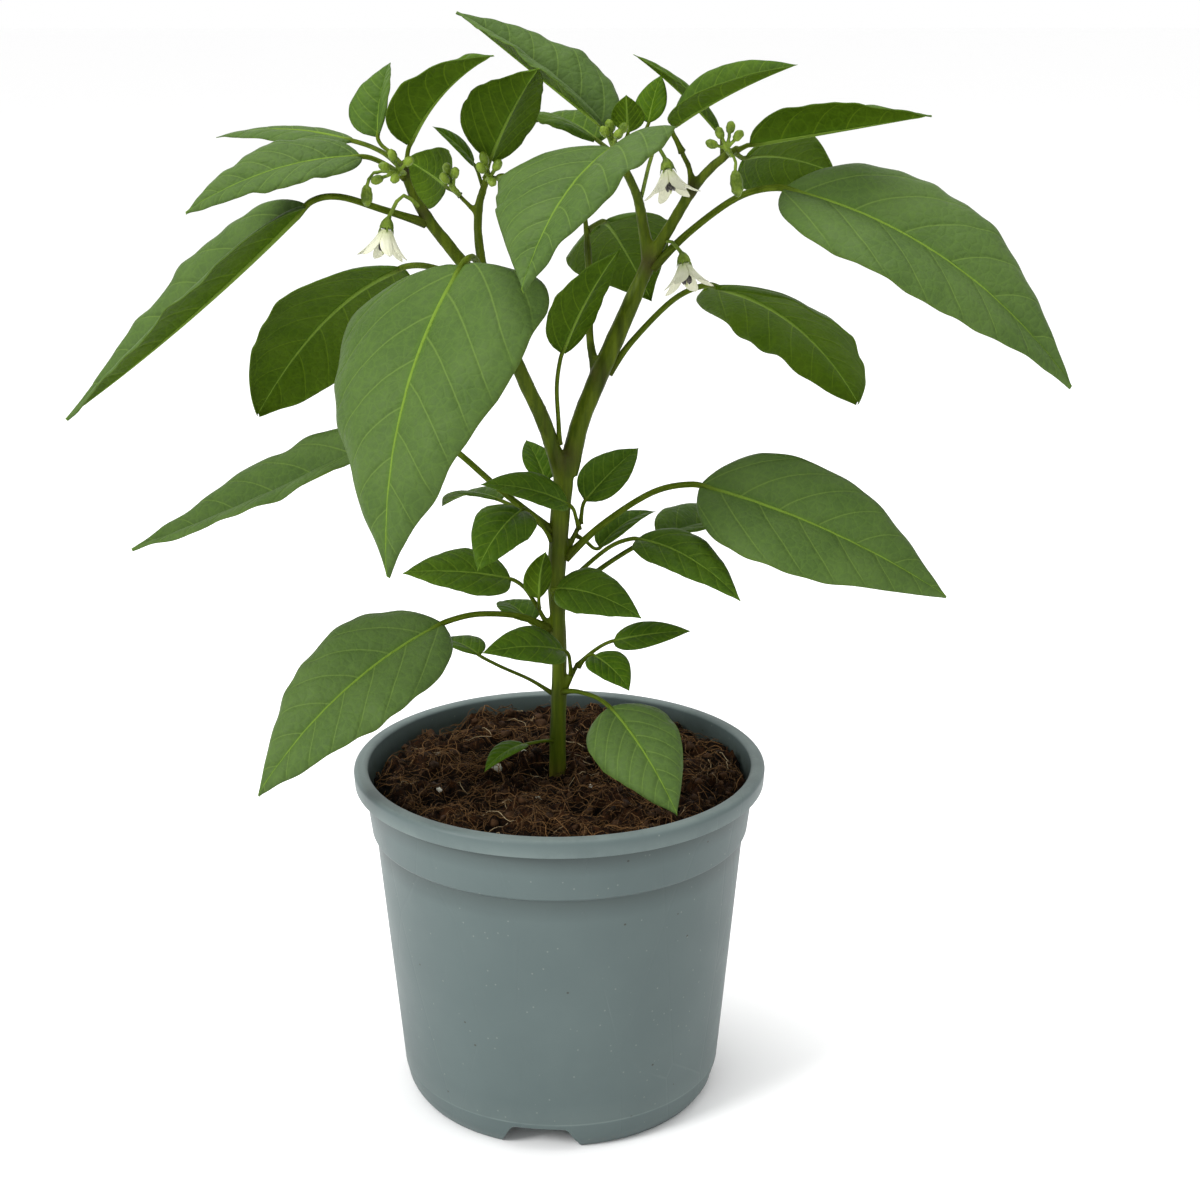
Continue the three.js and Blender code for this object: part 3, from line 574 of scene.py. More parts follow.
LEAF_SHEEN_TO_SHADE = {  # 0 paints an upper face greyish with the sheen of the overhead light, 1 paints it the darker green of a leaf in shade
    "leaf_low_left_large": 0.0, "leaf_low_right_front": 0.0, "leaf_right_middle": 0.1,
    "leaf_left_middle": 0.1, "leaf_left_back_hanging": 1.0, "leaf_right_back_hanging": 1.0,
    "leaf_centre_back": 0.8, "leaf_centre_upright": 0.85, "leaf_right_upper": 0.6,
    "leaf_left_inner_upright": 0.9, "leaf_left_outer_upright": 0.9, "leaf_top_right_raised": 0.7,
    "leaf_right_upper_back": 0.9, "leaf_top_right_back": 0.9, "leaf_left_outer_back": 0.2,
    "leaf_right_middle_back": 0.6, "leaf_left_inner_back": 0.6,
}


def make_leaf(name, seed):
    """A fine grid through the CAD blade's rings, with s the share along it and t from -1 to 1 across it."""
    rng = np.random.default_rng(seed)
    points, faces = welded(*points_of(name))
    tip, rings, rest = read_rings(points, faces)
    blade = rings[:8][::-1]
    stations = STATIONS[-len(blade):]
    ribs = [q[2] - q[5] for q in blade]
    centres = np.array([q[2] - TOP_TO_MIDDLE * MM * unit(r) for q, r in zip(blade, ribs)] + [tip])
    midrib = np.polyfit(np.append(stations, 1.0), centres, 2)

    def centre_at(s):
        return midrib[0] * s ** 2 + midrib[1] * s + midrib[2]

    form = LEAF_FORM.get(name, (0.55, 1.05))
    width = blade_width(stations, form)
    inner = slice(1, -1)
    reach = {}
    for side, k, m in ((-1, 0, 1), (1, 4, 3)):
        edge = np.array([(q[k] - c) / w for q, c, w in zip(blade, centres, width)])
        crown = np.array([(q[m] - (q[k] + c) / 2) / w for q, c, w in zip(blade, centres, width)])
        reach[side] = [np.polyfit(stations[inner], values[inner], 1) for values in (edge, crown)]
    length = np.linalg.norm(tip - centre_at(0.0)) / MM
    half = float(np.mean([np.linalg.norm(q[4] - q[0]) for q in blade[2:4]])) / 2 / MM
    young = float(np.clip((46 - length) / 26, 0, 1))
    # From painted sheen at 0 to painted shade at 1, leaf by leaf.
    sheen_to_shade = LEAF_SHEEN_TO_SHADE.get(name, 0.8 if length < 60 else 0.05)
    stalk_radius = np.clip(0.5 + length / 160, 0.6, 1.25)

    rows = int(np.clip(length * 0.75, 26, 84))
    half_columns = int(np.clip(half * 0.62, 9, 24))
    u = np.linspace(-1, 1, 2 * half_columns + 1)
    t_row = np.sign(u) * np.abs(u) ** 1.25
    s_column = 1 - (1 - np.linspace(0.0, 1, rows)) ** 1.12
    s_column[0], s_column[-1] = 0.004, 0.9985
    s, t = np.meshgrid(s_column, t_row, indexing="ij")
    side = np.where(t < 0, -1, 1)
    at = np.abs(t)
    spacing = 0.155 if half > 15 else 0.18
    curve = at * blade_width(s, form) * half / length * (0.80 + 0.50 * at)
    phase = (s - curve) / spacing + np.where(t < 0, 0.5, 0.0) + rng.uniform(0, 1)

    along = unit(centre_at(0.6) - centre_at(0.3))
    face = unit(np.mean([unit(r) for r in ribs[1:6]], axis=0))
    face = unit(face - along * (face @ along))

    grid = centre_at(s[..., None])
    shape = outline(s, form)
    for sign in (-1, 1):
        edge, crown = reach[sign]
        mask = (side == sign)[..., None]
        e = edge[0] * s[..., None] + edge[1]
        c = crown[0] * s[..., None] + crown[1]
        bulge = 4 * at * (1 - at) * 0.72 + 0.10 * np.sin(math.pi * at) ** 2
        rise = (c * (bulge * shape)[..., None])
        grid = grid + np.where(mask, e * (at * shape)[..., None] + rise, 0)

    wave = 0.0
    for k in range(3):
        turns = rng.uniform(2.2, 3.4) * (k + 1)
        angle = TURN * (turns * s + rng.uniform(0, 1)) + side * rng.uniform(0.4, 2.4)
        wave = wave + np.sin(angle) / (k + 1)
    size = half / 40
    big = np.clip((half - 6) / 12, 0, 1)
    ripple = (0.30 + 1.0 * size) * big * at ** 3 * wave * np.sin(math.pi * np.clip(s, 0, 1)) ** 0.5
    quilt_shape = np.abs(np.sin(math.pi * phase)) ** 0.8 - 0.55
    quilt = (0.10 + 0.36 * size) * quilt_shape * (at * (1 - at)) ** 0.5 * 2 * np.sin(math.pi * s) ** 0.5
    channel = -0.35 * np.exp(-(np.abs(t) * half * shape / 1.5) ** 2) * (1 - s)
    droop = -(0.5 + 1.6 * size) * big * at ** 6
    height = (ripple + quilt + channel + droop) * MM
    grain = np.array([[turbulence((a * length / 9, b * half / 9 + seed * 7.3, 0), 1.0) for b in t_row]
                      for a in s_column]) * (0.10 + 0.22 * size) * MM
    grid = grid + face * (height + grain)[..., None]

    du = np.gradient(grid, axis=0)
    dv = np.gradient(grid, axis=1)
    normal = np.cross(dv, du)
    normal /= np.maximum(np.linalg.norm(normal, axis=2, keepdims=True), 1e-12)
    if np.sum(normal @ face) < 0:
        normal = -normal
    thick = (HALF_SKIN + 0.04 * (1 - at)) * MM * np.clip(shape * half / 2.0, 0.25, 1)
    upper = grid + normal * thick[..., None]
    lower = grid - normal * thick[..., None]

    flat_count = s.size
    shell = two_skins(*s.shape)

    across_mm = t * half * shape
    rib_mm = (0.20 + 0.75 * min(size * 1.1, 1.0)) * (1 - s) ** 0.7 + 0.10
    phase_mm = spacing * length * 0.72

    # The stalk runs from inside the stem to the blade and on under it as the midrib.
    route = [(q[0] + q[4]) / 2 for q in rings[8:][::-1]]
    if len(rest):
        foot = rest.mean(0)
        towards = unit(foot - route[0]) if route else unit(foot - centre_at(0.0))
        route = [foot + towards * 1.2 * MM] + route
    blade_start = len(route)
    if blade_start < 2:
        route = [centre_at(-0.08)] + route
        blade_start += 1
    route += [centre_at(x) + face * (-0.34 * stalk_radius * (1 - x) ** 0.6 * MM) for x in RIB_STATIONS]
    count = 6 * len(route)
    path = smooth_path(route, count)
    share = np.linspace(0, len(route) - 1, count)
    on_blade = np.interp(share, range(len(route)), [0.0] * blade_start + RIB_STATIONS)
    radii = stalk_radius * MM * np.where(share < blade_start, 1.0, (1 - on_blade) ** 0.85 * 0.92)
    radii = radii * (1 + 0.75 * np.exp(-share / 0.45)) + 0.05 * MM
    sides = 12
    stalk_points, stalk_faces = tube(path, radii, sides, normal=face, lobes=0.06)
    angle = np.tile(TURN * np.arange(sides) / sides, count)
    groove = np.repeat(radii * np.clip(1.2 - share / max(blade_start, 1), 0, 1), sides) * np.exp(
        -((angle - math.pi / 2) / 0.5) ** 2) * 0.35
    stalk_points = stalk_points - face * groove[:, None]
    steps = np.linalg.norm(np.diff(path, axis=0), axis=1) / MM
    along_mm = np.repeat(np.concatenate([[0], np.cumsum(steps)]), sides)
    bare = np.repeat(np.clip(0.4 - share + blade_start, 0, 1), sides)
    stalk_share = np.repeat(share / max(blade_start, 1), sides)

    everything = np.vstack([upper.reshape(-1, 3), lower.reshape(-1, 3), stalk_points])
    shift = 2 * flat_count
    all_faces = shell + [tuple(i + shift for i in f) for f in stalk_faces]
    piece = add_object(name + "_blade", everything, all_faces, LEAF)

    def skins_and_stalk(blade, stalk):
        """One attribute's rows of three values: the blade's upper skin, its lower skin, and the stalk."""
        rows = [np.stack(np.broadcast_arrays(*three), -1).reshape(-1, 3) for three in (blade, stalk)]
        return np.vstack([rows[0], rows[0], rows[1]])

    add_attribute(piece, "blade_mm", skins_and_stalk(
        (s * length, across_mm, seed * 37.0), (along_mm, angle * 2.0, seed * 37.0)))
    add_attribute(piece, "blade_vein", skins_and_stalk((phase, phase_mm, s), (0.5, 20, stalk_share)))
    add_attribute(piece, "blade_rib", skins_and_stalk((rib_mm, 0, at), (40.0, bare, 0)))
    add_attribute(piece, "blade_kind", np.repeat(
        [(1, sheen_to_shade, young), (0, sheen_to_shade, young), (0.5, sheen_to_shade, young)],
        [flat_count, flat_count, len(stalk_points)], axis=0))
    return register(piece, "leaf", name)


leaf_names = sorted(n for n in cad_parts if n.startswith("leaf_"))
for number, leaf_name in enumerate(leaf_names):
    make_leaf(leaf_name, number + 3)


# ---- The stem: the CAD stem, with its corners melted together ----

def melted(name, new_name, voxel, material, smooth_rounds=6):
    """A copy of a CAD node, remeshed finely and smoothed."""
    points, faces = welded(*points_of(name))
    piece = add_object(new_name, points, faces, material)
    modifier = piece.modifiers.new("remesh", "REMESH")
    modifier.mode = "VOXEL"
    modifier.voxel_size = voxel
    modifier.use_smooth_shade = True
    smoothing = piece.modifiers.new("smooth", "SMOOTH")
    smoothing.factor = 0.5
    smoothing.iterations = smooth_rounds
    made = apply_modifiers(piece)
    if not made.materials:
        made.materials.append(material)
    return piece


KNOTS = np.array([  # the stem's dark joints: x, y, z and reach, in millimetres
    (0, 0, 174, 4), (0, 0, 199, 5), (0, 0, 213, 5), (0, 0, 231, 5), (1, 0, 241, 6), (3, 0, 273, 7),
    (-25, -12, 337, 6), (36, 8, 349, 6.5), (-56, -14, 387, 5), (16, 5, 304, 6), (-50, -16, 370, 4),
    (52, 0, 378, 4)], float)


def make_stem():
    piece = melted("stem", "stem_grown", 0.65 * MM, STEM)
    co, normals = read_points(piece.data), read_points(piece.data, "normal")
    ridge = np.array([bumpiness(x * 520, y * 520, z * 16) for x, y, z in co])
    lump = np.array([bumpiness(x * 150, y * 150, z * 90) for x, y, z in co])
    dark = np.zeros(len(co))
    swell = np.zeros(len(co))
    for x, y, z, reach in KNOTS:
        far = np.linalg.norm((co / MM - [x, y, z]) * [1, 1, 0.8], axis=1)
        dark = np.maximum(dark, np.exp(-(far / (reach * 0.80)) ** 2))
        swell = np.maximum(swell, np.exp(-(far / (reach * 0.8)) ** 2))
    thin = np.clip((co[:, 2] / MM - 100) / 40, 0.3, 1)
    co = co + normals * ((0.16 * ridge + 0.22 * lump) * thin + 0.28 * swell)[:, None] * MM
    move_points(piece.data, co)
    strength = np.where(co[:, 2] > 0.262, 1.0, 0.75)
    add_attribute(piece, "node_dark", np.clip((dark * 1.1 - 0.12) * strength + 0.04 * lump, 0, 1))
    add_attribute(piece, "wood", np.clip((147 - co[:, 2] / MM) / 12, 0, 1))
    return register(piece, "stem", "stem")


make_stem()


# ---- Flowers and buds ----

def axis_of(name, away_from):
    """A slender node's two ends along its length, the one nearer to away_from first."""
    points, _ = welded(*points_of(name))
    centre = points.mean(0)
    _, _, directions = np.linalg.svd(points - centre)
    axis = directions[0]
    if (centre - away_from) @ axis < 0:
        axis = -axis
    reach = (points - centre) @ axis
    return centre + axis * reach.min(), centre + axis * reach.max()


def make_flower(name, turn, spread, seed):
    rng = np.random.default_rng(seed)
    calyx_points, _ = welded(*points_of(name + "_calyx"))
    corolla_points, _ = welded(*points_of(name + "_corolla"))
    low, high = axis_of(name + "_stamens", calyx_points.mean(0))
    axis = unit(high - low)
    throat = low - axis * 0.9 * MM
    u = unit(np.cross([0, 1, 0], axis))
    v = np.cross(axis, u)
    reach = np.max((corolla_points - throat) @ axis)

    petals = Pile()
    coordinates = []
    rows, columns = 22, 13
    for k in range(6):
        heading = turn + TURN * k / 6 + rng.uniform(-0.06, 0.06)
        bend = spread * rng.uniform(0.8, 1.2)
        long = reach * rng.uniform(1.06, 1.18)
        twist = rng.uniform(-0.15, 0.15)
        sheets = []
        for skin in (0, 1):
            sheet = []
            for i in range(rows):
                w = i / (rows - 1)
                # The tube widens, then each petal turns outwards to its point.
                out = 2.1 + 5.8 * w + bend * 2.6 * w ** 2.2
                down = (long / MM) * (w - 0.14 * bend * w ** 3)
                half_angle = math.pi / 6 * 1.06
                point_shape = ((1 - w) / 0.58) ** 0.66 if w > 0.42 else 1.0
                for j in range(columns):
                    x = 2 * j / (columns - 1) - 1
                    a = heading + x * half_angle * point_shape * (1 - 0.10 * w) + twist * w * w
                    cup = 0.65 * x * x * point_shape * (0.4 + w)
                    crease = -0.22 * math.exp(-(x / 0.22) ** 2) * (1 - w)
                    r = out - cup * 0.6 + crease + (0.17 if skin == 0 else -0.17) * (1 - 0.5 * w)
                    drop = down + cup * 0.35 + 0.10 * math.sin(9 * x + 5 * w + k)
                    sheet.append(throat + (axis * drop + (math.cos(a) * u + math.sin(a) * v) * r) * MM)
            sheets.append(np.array(sheet))
            coordinates += [((2 * j / (columns - 1) - 1) * 2 * (1 - 0.5 * i / rows), i / (rows - 1) * 1.0, k)
                            for i in range(rows) for j in range(columns)]
        petals.add(np.vstack(sheets[::-1]), two_skins(rows, columns))
    piece = petals.build(name + "_petals", PETAL)
    add_attribute(piece, "petal", np.array(coordinates))
    register(piece, "petal", name + "_corolla")

    stamens = Pile()
    full = np.linalg.norm(high - low) / MM
    for k in range(6):
        a = turn + TURN * (k + 0.5) / 6
        lean = math.cos(a) * u + math.sin(a) * v

        def stamen_point(share, aside):
            return low + (axis * full * share + lean * aside) * MM

        filament = smooth_path([stamen_point(0, 0.7), stamen_point(0.35, 1.1), stamen_point(0.52, 1.3)], 7)
        stamens.add(*tube(filament, 0.22 * MM, 6), 0.0)
        anther = smooth_path([stamen_point(0.48, 1.3), stamen_point(0.68, 1.55), stamen_point(0.86, 1.3)], 9)
        swell = np.array([0.3, 0.5, 0.62, 0.68, 0.7, 0.68, 0.62, 0.5, 0.2]) * MM
        stamens.add(*tube(anther, swell, 9, normal=lean, flatten=0.8, lobes=0.05), 1.0)
    style = smooth_path([low, low + axis * full * 0.6 * MM, low + (axis * full * 0.98 + u * 0.2) * MM], 9)
    stamens.add(*tube(style, np.array([.4, .3, .28, .27, .27, .27, .3, .42, .25]) * MM, 7), 0.0)
    register(stamens.build(name + "_anthers", ANTHER, "stamen"), "anther", name + "_stamens")

    cup = melted(name + "_calyx", name + "_cup", 0.22 * MM, BUD, 4)
    co = read_points(cup.data)
    offset = co - throat
    depth = offset @ axis / MM
    flat = offset - np.outer(offset @ axis, axis)
    around = np.arctan2(flat @ v, flat @ u)
    near = np.exp(-((np.linalg.norm(flat, axis=1) / MM) / 3.6) ** 4) * (depth > -5) * (depth < 2)
    rib = 0.20 * np.cos(around * 6) * near
    co = co + flat / np.maximum(np.linalg.norm(flat, axis=1, keepdims=True), 1e-9) * rib[:, None] * MM
    move_points(cup.data, co)
    teeth = Pile()
    for k in range(6):
        a = turn + TURN * k / 6
        lean = math.cos(a) * u + math.sin(a) * v
        path = smooth_path([throat + (lean * 2.1 - axis * 1.4) * MM, throat + (lean * 2.75 - axis * 0.1) * MM,
                            throat + (lean * 3.2 + axis * 1.3) * MM], 7)
        teeth.add(*tube(path, np.array([.5, .5, .45, .38, .28, .18, .08]) * MM, 7, normal=lean, flatten=0.6))
    register(teeth.build(name + "_sepals", BUD), "bud")
    register(cup, "bud", name + "_calyx")


make_flower("flower_left", 0.35, 0.75, 5)
make_flower("flower_top", 0.1, 1.0, 6)
make_flower("flower_right", 0.75, 1.1, 7)

def make_centre_buds():
    """A small cluster beside the inner branch, too small for a node of its own."""
    pile = Pile()
    knob = np.array([-25, -8, 383.0])
    for x, y, z in ((-22, -12, 388), (-28, -12, 387), (-20, -9, 383), (-24, -13, 382), (-27, -8, 390)):
        middle = np.array([x, y, z], float)
        way = unit(middle - knob)
        shaft = smooth_path([knob - [1.5, -6, 1.5], knob, middle - way * 2.2], 7)
        pile.add(*tube(shaft * MM, 0.75 * MM, 8))
        egg = np.array([middle + way * h for h in np.linspace(-2.9, 2.9, 12)])
        swell = np.sqrt(np.clip(1 - (np.linspace(-1, 1, 12) * 0.995) ** 2, 0.002, 1)) * 1.75
        pile.add(*tube(egg * MM, swell * MM, 14, lobes=0.06))
    register(pile.build("buds_left_centre", BUD), "bud")


make_centre_buds()
for node in sorted(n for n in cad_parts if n.startswith("buds_")):
    piece = melted(node, node + "_grown", 0.20 * MM, BUD, 3)
    co, normals = read_points(piece.data), read_points(piece.data, "normal")
    lump = np.array([noise.noise(Vector(p) * 620) for p in co])
    co = co + normals * (0.22 * lump)[:, None] * MM
    move_points(piece.data, co)
    register(piece, "bud", node)


# ---- The pot ----

def rounded(profile, corners, steps=5):
    """The profile with each listed corner turned in a small radius."""
    out = []
    for i, (r, z) in enumerate(profile):
        radius = corners.get(i, 0)
        if not radius:
            out.append((r, z))
            continue
        p = np.array([r, z], float)
        a = np.array(profile[i - 1], float) - p
        b = np.array(profile[(i + 1) % len(profile)], float) - p
        cut = min(radius, np.linalg.norm(a) * 0.45, np.linalg.norm(b) * 0.45)
        start, end = p + unit(a) * cut, p + unit(b) * cut
        for k in range(steps + 1):
            f = k / steps
            out.append(tuple((1 - f) ** 2 * start + 2 * f * (1 - f) * p + f * f * end))
    return out


BASE_UNDER, BASE_TOP = 11, 13  # heights on the pot, in millimetres
COLLAR_FOOT, SKIRT_FOOT = 117, 137.5
NOTCH_TURN, NOTCH_COUNT = -8, 4
DRAIN_COUNT, DRAIN_RADIUS, DRAIN_DISTANCE, MIDDLE_DRAIN_RADIUS = 8, 5, 46, 6
DRAIN_SIDES, POT_SIDES = 28, 224


def pot_profile(rim, top):
    """From the middle of the base's underside, up the outside, over the rim, and down the inside."""
    return [
        (0, BASE_UNDER), (60.6, BASE_UNDER), (59.4, 0), (61.6, 0), (62.6, 0.6), (65.5, 4.5),
        (rim - 17.75, 12.2), (rim - 17.82, 12.7), (rim - 17.70, 13.1), (rim - 8.5, COLLAR_FOOT - 0.7),
        (rim - 6.9, COLLAR_FOOT + 0.3), (rim - 4.4, SKIRT_FOOT),
        (rim - 4.4, top - 2.1), (rim - 1.5, top - 2.7), (rim - 1.5, SKIRT_FOOT), (rim - 0.4, SKIRT_FOOT),
        (rim, top - 1.5), (rim - 1.2, top - 0.2), (rim - 4.4, top), (rim - 5.9, top - 0.8),
        (rim - 5.9, SKIRT_FOOT), (rim - 8.5, COLLAR_FOOT + 0.5), (rim - 9.9, COLLAR_FOOT - 1.5),
        (rim - 19.2, BASE_TOP), (0, BASE_TOP)]


def make_pot():
    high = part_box("pot")[1]
    rim, top = high[0] / MM, high[2] / MM
    corner_radii = {
        2: 0.5, 3: 0.5, 4: 1.0, 5: 2.2, 6: 1.6, 9: 0.5, 10: 0.8, 11: 0.7, 14: 0.35, 15: 0.5, 16: 1.6, 17: 1.2,
        18: 1.4, 19: 0.9, 21: 1.5, 22: 1.5, 23: 2.5}
    profile = rounded(pot_profile(rim, top), corner_radii)
    spaced = []
    for (r0, z0), (r1, z1) in zip(profile, profile[1:]):
        steps = max(1, int(math.hypot(r1 - r0, z1 - z0) / 9))
        spaced += [(r0 + (r1 - r0) * k / steps, z0 + (z1 - z0) * k / steps) for k in range(steps)]
    spaced.append(profile[-1])
    sides = POT_SIDES
    points, faces = [(0, 0, spaced[0][1])], []
    for r, z in spaced[1:-1]:
        for j in range(sides):
            a = TURN * j / sides
            wobble = 1 + 0.0006 * math.sin(2 * a + 0.7) * min(1.0, z / 100)
            points.append((r * wobble * math.cos(a), r * wobble * math.sin(a), z))
    points.append((0, 0, spaced[-1][1]))
    last = len(points) - 1 - sides
    for k in range(1, last, sides):
        faces += band(k, k + sides, sides)
    faces += [f[::-1] for f in fan(0, 1, sides)] + fan(len(points) - 1, last, sides)
    pot = add_object("pot_moulded", np.array(points) * MM, faces, POT)

    # The four notches of the foot and the drain holes are cut where the CAD pot has them.
    cutters = bmesh.new()

    def add_prism(front, back):
        front, back = ([cutters.verts.new(Vector(p) * MM) for p in ring] for ring in (front, back))
        cutters.faces.new(front)
        cutters.faces.new(back[::-1])
        for k in range(len(front)):
            m = (k + 1) % len(front)
            cutters.faces.new((front[m], front[k], back[k], back[m]))

    half_notch = [(15.2, 3), (12.2, 8.8), (11.0, 10.1), (9.4, 10.5)]
    notch = [(-16.5, -1), (16.5, -1), *half_notch, (0, 10.6), *((-x, z) for x, z in half_notch[::-1])]
    for i in range(NOTCH_COUNT):
        turn = math.radians(NOTCH_TURN + 360 / NOTCH_COUNT * i)
        add_prism(*([(x * math.cos(turn) - y * math.sin(turn), x * math.sin(turn) + y * math.cos(turn), z)
                     for x, z in notch] for y in (-70.6, -48.6)))
    for i in range(DRAIN_COUNT + 1):
        a = (i + 0.5) / DRAIN_COUNT * TURN
        radius, distance = (DRAIN_RADIUS, DRAIN_DISTANCE) if i < DRAIN_COUNT else (MIDDLE_DRAIN_RADIUS, 0)
        x, y = distance * math.sin(a), -distance * math.cos(a)
        turns = [TURN * k / DRAIN_SIDES for k in range(DRAIN_SIDES)]
        add_prism(*([(x + radius * math.cos(b), y + radius * math.sin(b), z) for b in turns]
                    for z in (BASE_TOP + 3, BASE_UNDER - 3)))
    bmesh.ops.recalc_face_normals(cutters, faces=cutters.faces)
    cutter_mesh = bpy.data.meshes.new("pot_cutters")
    cutters.to_mesh(cutter_mesh)
    cutters.free()
    cutter = add_to_scene("pot_cutters", cutter_mesh)
    cut = pot.modifiers.new("cut", "BOOLEAN")
    cut.operation = "DIFFERENCE"
    cut.solver = "EXACT"
    cut.object = cutter
    made = apply_modifiers(pot)
    bpy.data.objects.remove(cutter)
    made.set_sharp_from_angle(angle=math.radians(34))
    co = read_points(made) / MM
    radius = np.hypot(co[:, 0], co[:, 1])
    height = co[:, 2]

    def line_at(z, width):
        return np.exp(-((height - z) / width) ** 2)

    # Lines along the rim's top, the skirt's lower edge and the foot: partly wear, partly painted highlight.
    wear_and_highlight = line_at(top, 0.9) + 0.7 * line_at(SKIRT_FOOT + 0.5, 0.5) * (radius > 83.5)
    wear_and_highlight = wear_and_highlight + 0.9 * line_at(BASE_TOP - 0.3, 0.35) * (radius > 66)
    add_attribute(pot, "wear_and_highlight", np.clip(wear_and_highlight, 0, 1))
    # The inner wall darkens from the rim down: partly soil stain, partly painted shade.
    mid_wall = np.interp(height, [BASE_TOP, COLLAR_FOOT - 1.5, COLLAR_FOOT + 0.5, SKIRT_FOOT],
                         [66.5, 75.8, 77.2, 79.9])
    inner = np.clip((top - 1 - height) / 9, 0, 1) * (radius < mid_wall) * (height > 12.9)
    add_attribute(pot, "soil_stain_and_shade", np.clip(inner, 0, 1))
    # Painted shade in the recess under the rim's skirt and under the collar's step.
    recess = line_at(SKIRT_FOOT - 1.1, 1.3) * (radius > 79.9) * (radius < 82)
    recess = recess + 0.8 * line_at(COLLAR_FOOT - 1.1, 1.0) * (radius > 76) * (radius < 77.2)
    add_attribute(pot, "recess_shade", np.clip(recess, 0, 1))
    return register(pot, "pot", "pot")


make_pot()


# ---- The potting mix ----

MIX_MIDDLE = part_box("potting_mix")[1][2] / MM - 2.6  # the surface's usual height
MIX_EDGE = 77.4
MIX_RINGS, MIX_SIDES = 104, 260
FIBRES, COARSE_FIBRES, ROOTLETS, CLODS, GRAINS = 1900, 300, 34, 420, 17


def mix_height(x, y):
    """The loose surface, in millimetres: lumps of a few sizes, and a sink along the wall."""
    r = math.hypot(x, y)
    big = turbulence((x, y, 3.0), 0.050, 2) * 5.2
    clods = turbulence((x, y, 9.0), 0.15, 3) * 5.0
    ridges = abs(turbulence((x, y, 21.0), 0.22, 2)) * 2.4
    crumbs = turbulence((x, y, 5.0), 0.55, 2) * 0.9
    a = math.atan2(y, x)
    sink = max(0.0, (r - 68) / (MIX_EDGE - 68)) ** 2 * (3.2 + 2.6 * max(0.0, math.cos(a - 3.6)))
    return MIX_MIDDLE - 1.0 + big + clods + crumbs + ridges - sink


def make_mix():
    rings, sides = MIX_RINGS, MIX_SIDES
    points, depth = [(0, 0, mix_height(0, 0))], [1.0]

    def directions(r):
        """The ways to a ring's points. Each ring is turned by half a step or not, so that no spokes show."""
        turns = [TURN * (j + 0.5 * (int(r * 7) % 2)) / sides for j in range(sides)]
        return [(math.cos(a), math.sin(a)) for a in turns]

    for k in range(1, rings + 1):
        r = MIX_EDGE * (k / rings) ** 0.9
        jitter = 0.45 if r < MIX_EDGE - 1 else 0
        for x, y in directions(r):
            x, y = r * x, r * y
            z = mix_height(x, y)
            x += jitter * bumpiness(x * 0.6, y * 0.6, 11)
            y += jitter * bumpiness(x * 0.6, y * 0.6, 17)
            points.append((x, y, z))
            # A low point gets a small depth, which the material paints dark as shade.
            depth.append(min(1.0, max(0.0, (z - MIX_MIDDLE + 2.2) / 4.4)))
    last = 1 + (rings - 1) * sides
    faces = fan(0, 1, sides)
    for k in range(1, last, sides):
        faces += band(k + sides, k, sides)
    # Down the wall, which leans inwards, to the base plate.
    for r, z in ((76.9, 128), (75.6, 117), (74.4, 108), (66.0, 15), (64.5, 13.4)):
        faces += band(len(points), last, sides)
        last = len(points)
        points += [(r * x, r * y, z) for x, y in directions(MIX_EDGE)]
    points.append((0, 0, 13.4))
    depth += [0.5] * (len(points) - len(depth))
    faces += [f[::-1] for f in fan(len(points) - 1, last, sides)]
    piece = add_object("potting_mix_bed", np.array(points) * MM, faces, MIX)
    add_attribute(piece, "depth", depth)
    register(piece, "potting_mix", "potting_mix")


def scatter_place(limit):
    while True:
        x, y = loose(-limit, limit, 2)
        r = math.hypot(x, y)
        if 5.0 < r < limit:
            return x, y


def fibre_path(x, y, length, lift, curl, count):
    heading = loose(0, TURN)
    z0 = mix_height(x, y)
    points = []
    turn = 0.0
    px, py = x, y
    for k in range(count):
        f = k / (count - 1)
        z = mix_height(px, py) + 0.3 + lift * math.sin(math.pi * min(1, f * 1.15)) + 0.25 * math.sin(9 * f)
        z = 0.55 * z + 0.45 * (z0 + 0.4 + lift * f * (1.2 - f) * 2)
        r = math.hypot(px, py)
        if r > 76.2:
            px, py = px * 76.2 / r, py * 76.2 / r
        points.append((px, py, min(z, 146.0)))
        turn += curl * loose(-1, 1)
        px += math.cos(heading + turn) * length / (count - 1)
        py += math.sin(heading + turn) * length / (count - 1)
    return np.array(points) * MM


def fibre_cover(x, y):
    """How thickly the coir lies: hardly at all in the hollows."""
    wet = bumpiness(x * 0.075, y * 0.075, 31)
    return min(1.0, max(0.03, 0.52 + 1.7 * wet + 0.16 * (mix_height(x, y) - MIX_MIDDLE)))


def add_strands(pile, count, limit, lengths, lifts, curl, radii, taper, shades, sides=5, evenly=True):
    """Loose strands on the mix, each range drawn from in turn, and thinner in the hollows if not evenly."""
    for _ in range(count):
        x, y = scatter_place(limit)
        length = loose(*lengths)
        while not evenly and fibre_cover(x, y) < loose(0, 1):
            x, y = scatter_place(limit)
        path = fibre_path(x, y, length, loose(*lifts), curl, len(taper))
        radius = loose(*radii) * MM
        shade = loose(*shades)
        pile.add(*tube(path, radius * np.array(taper), sides), shade if evenly else shade ** 1.4)


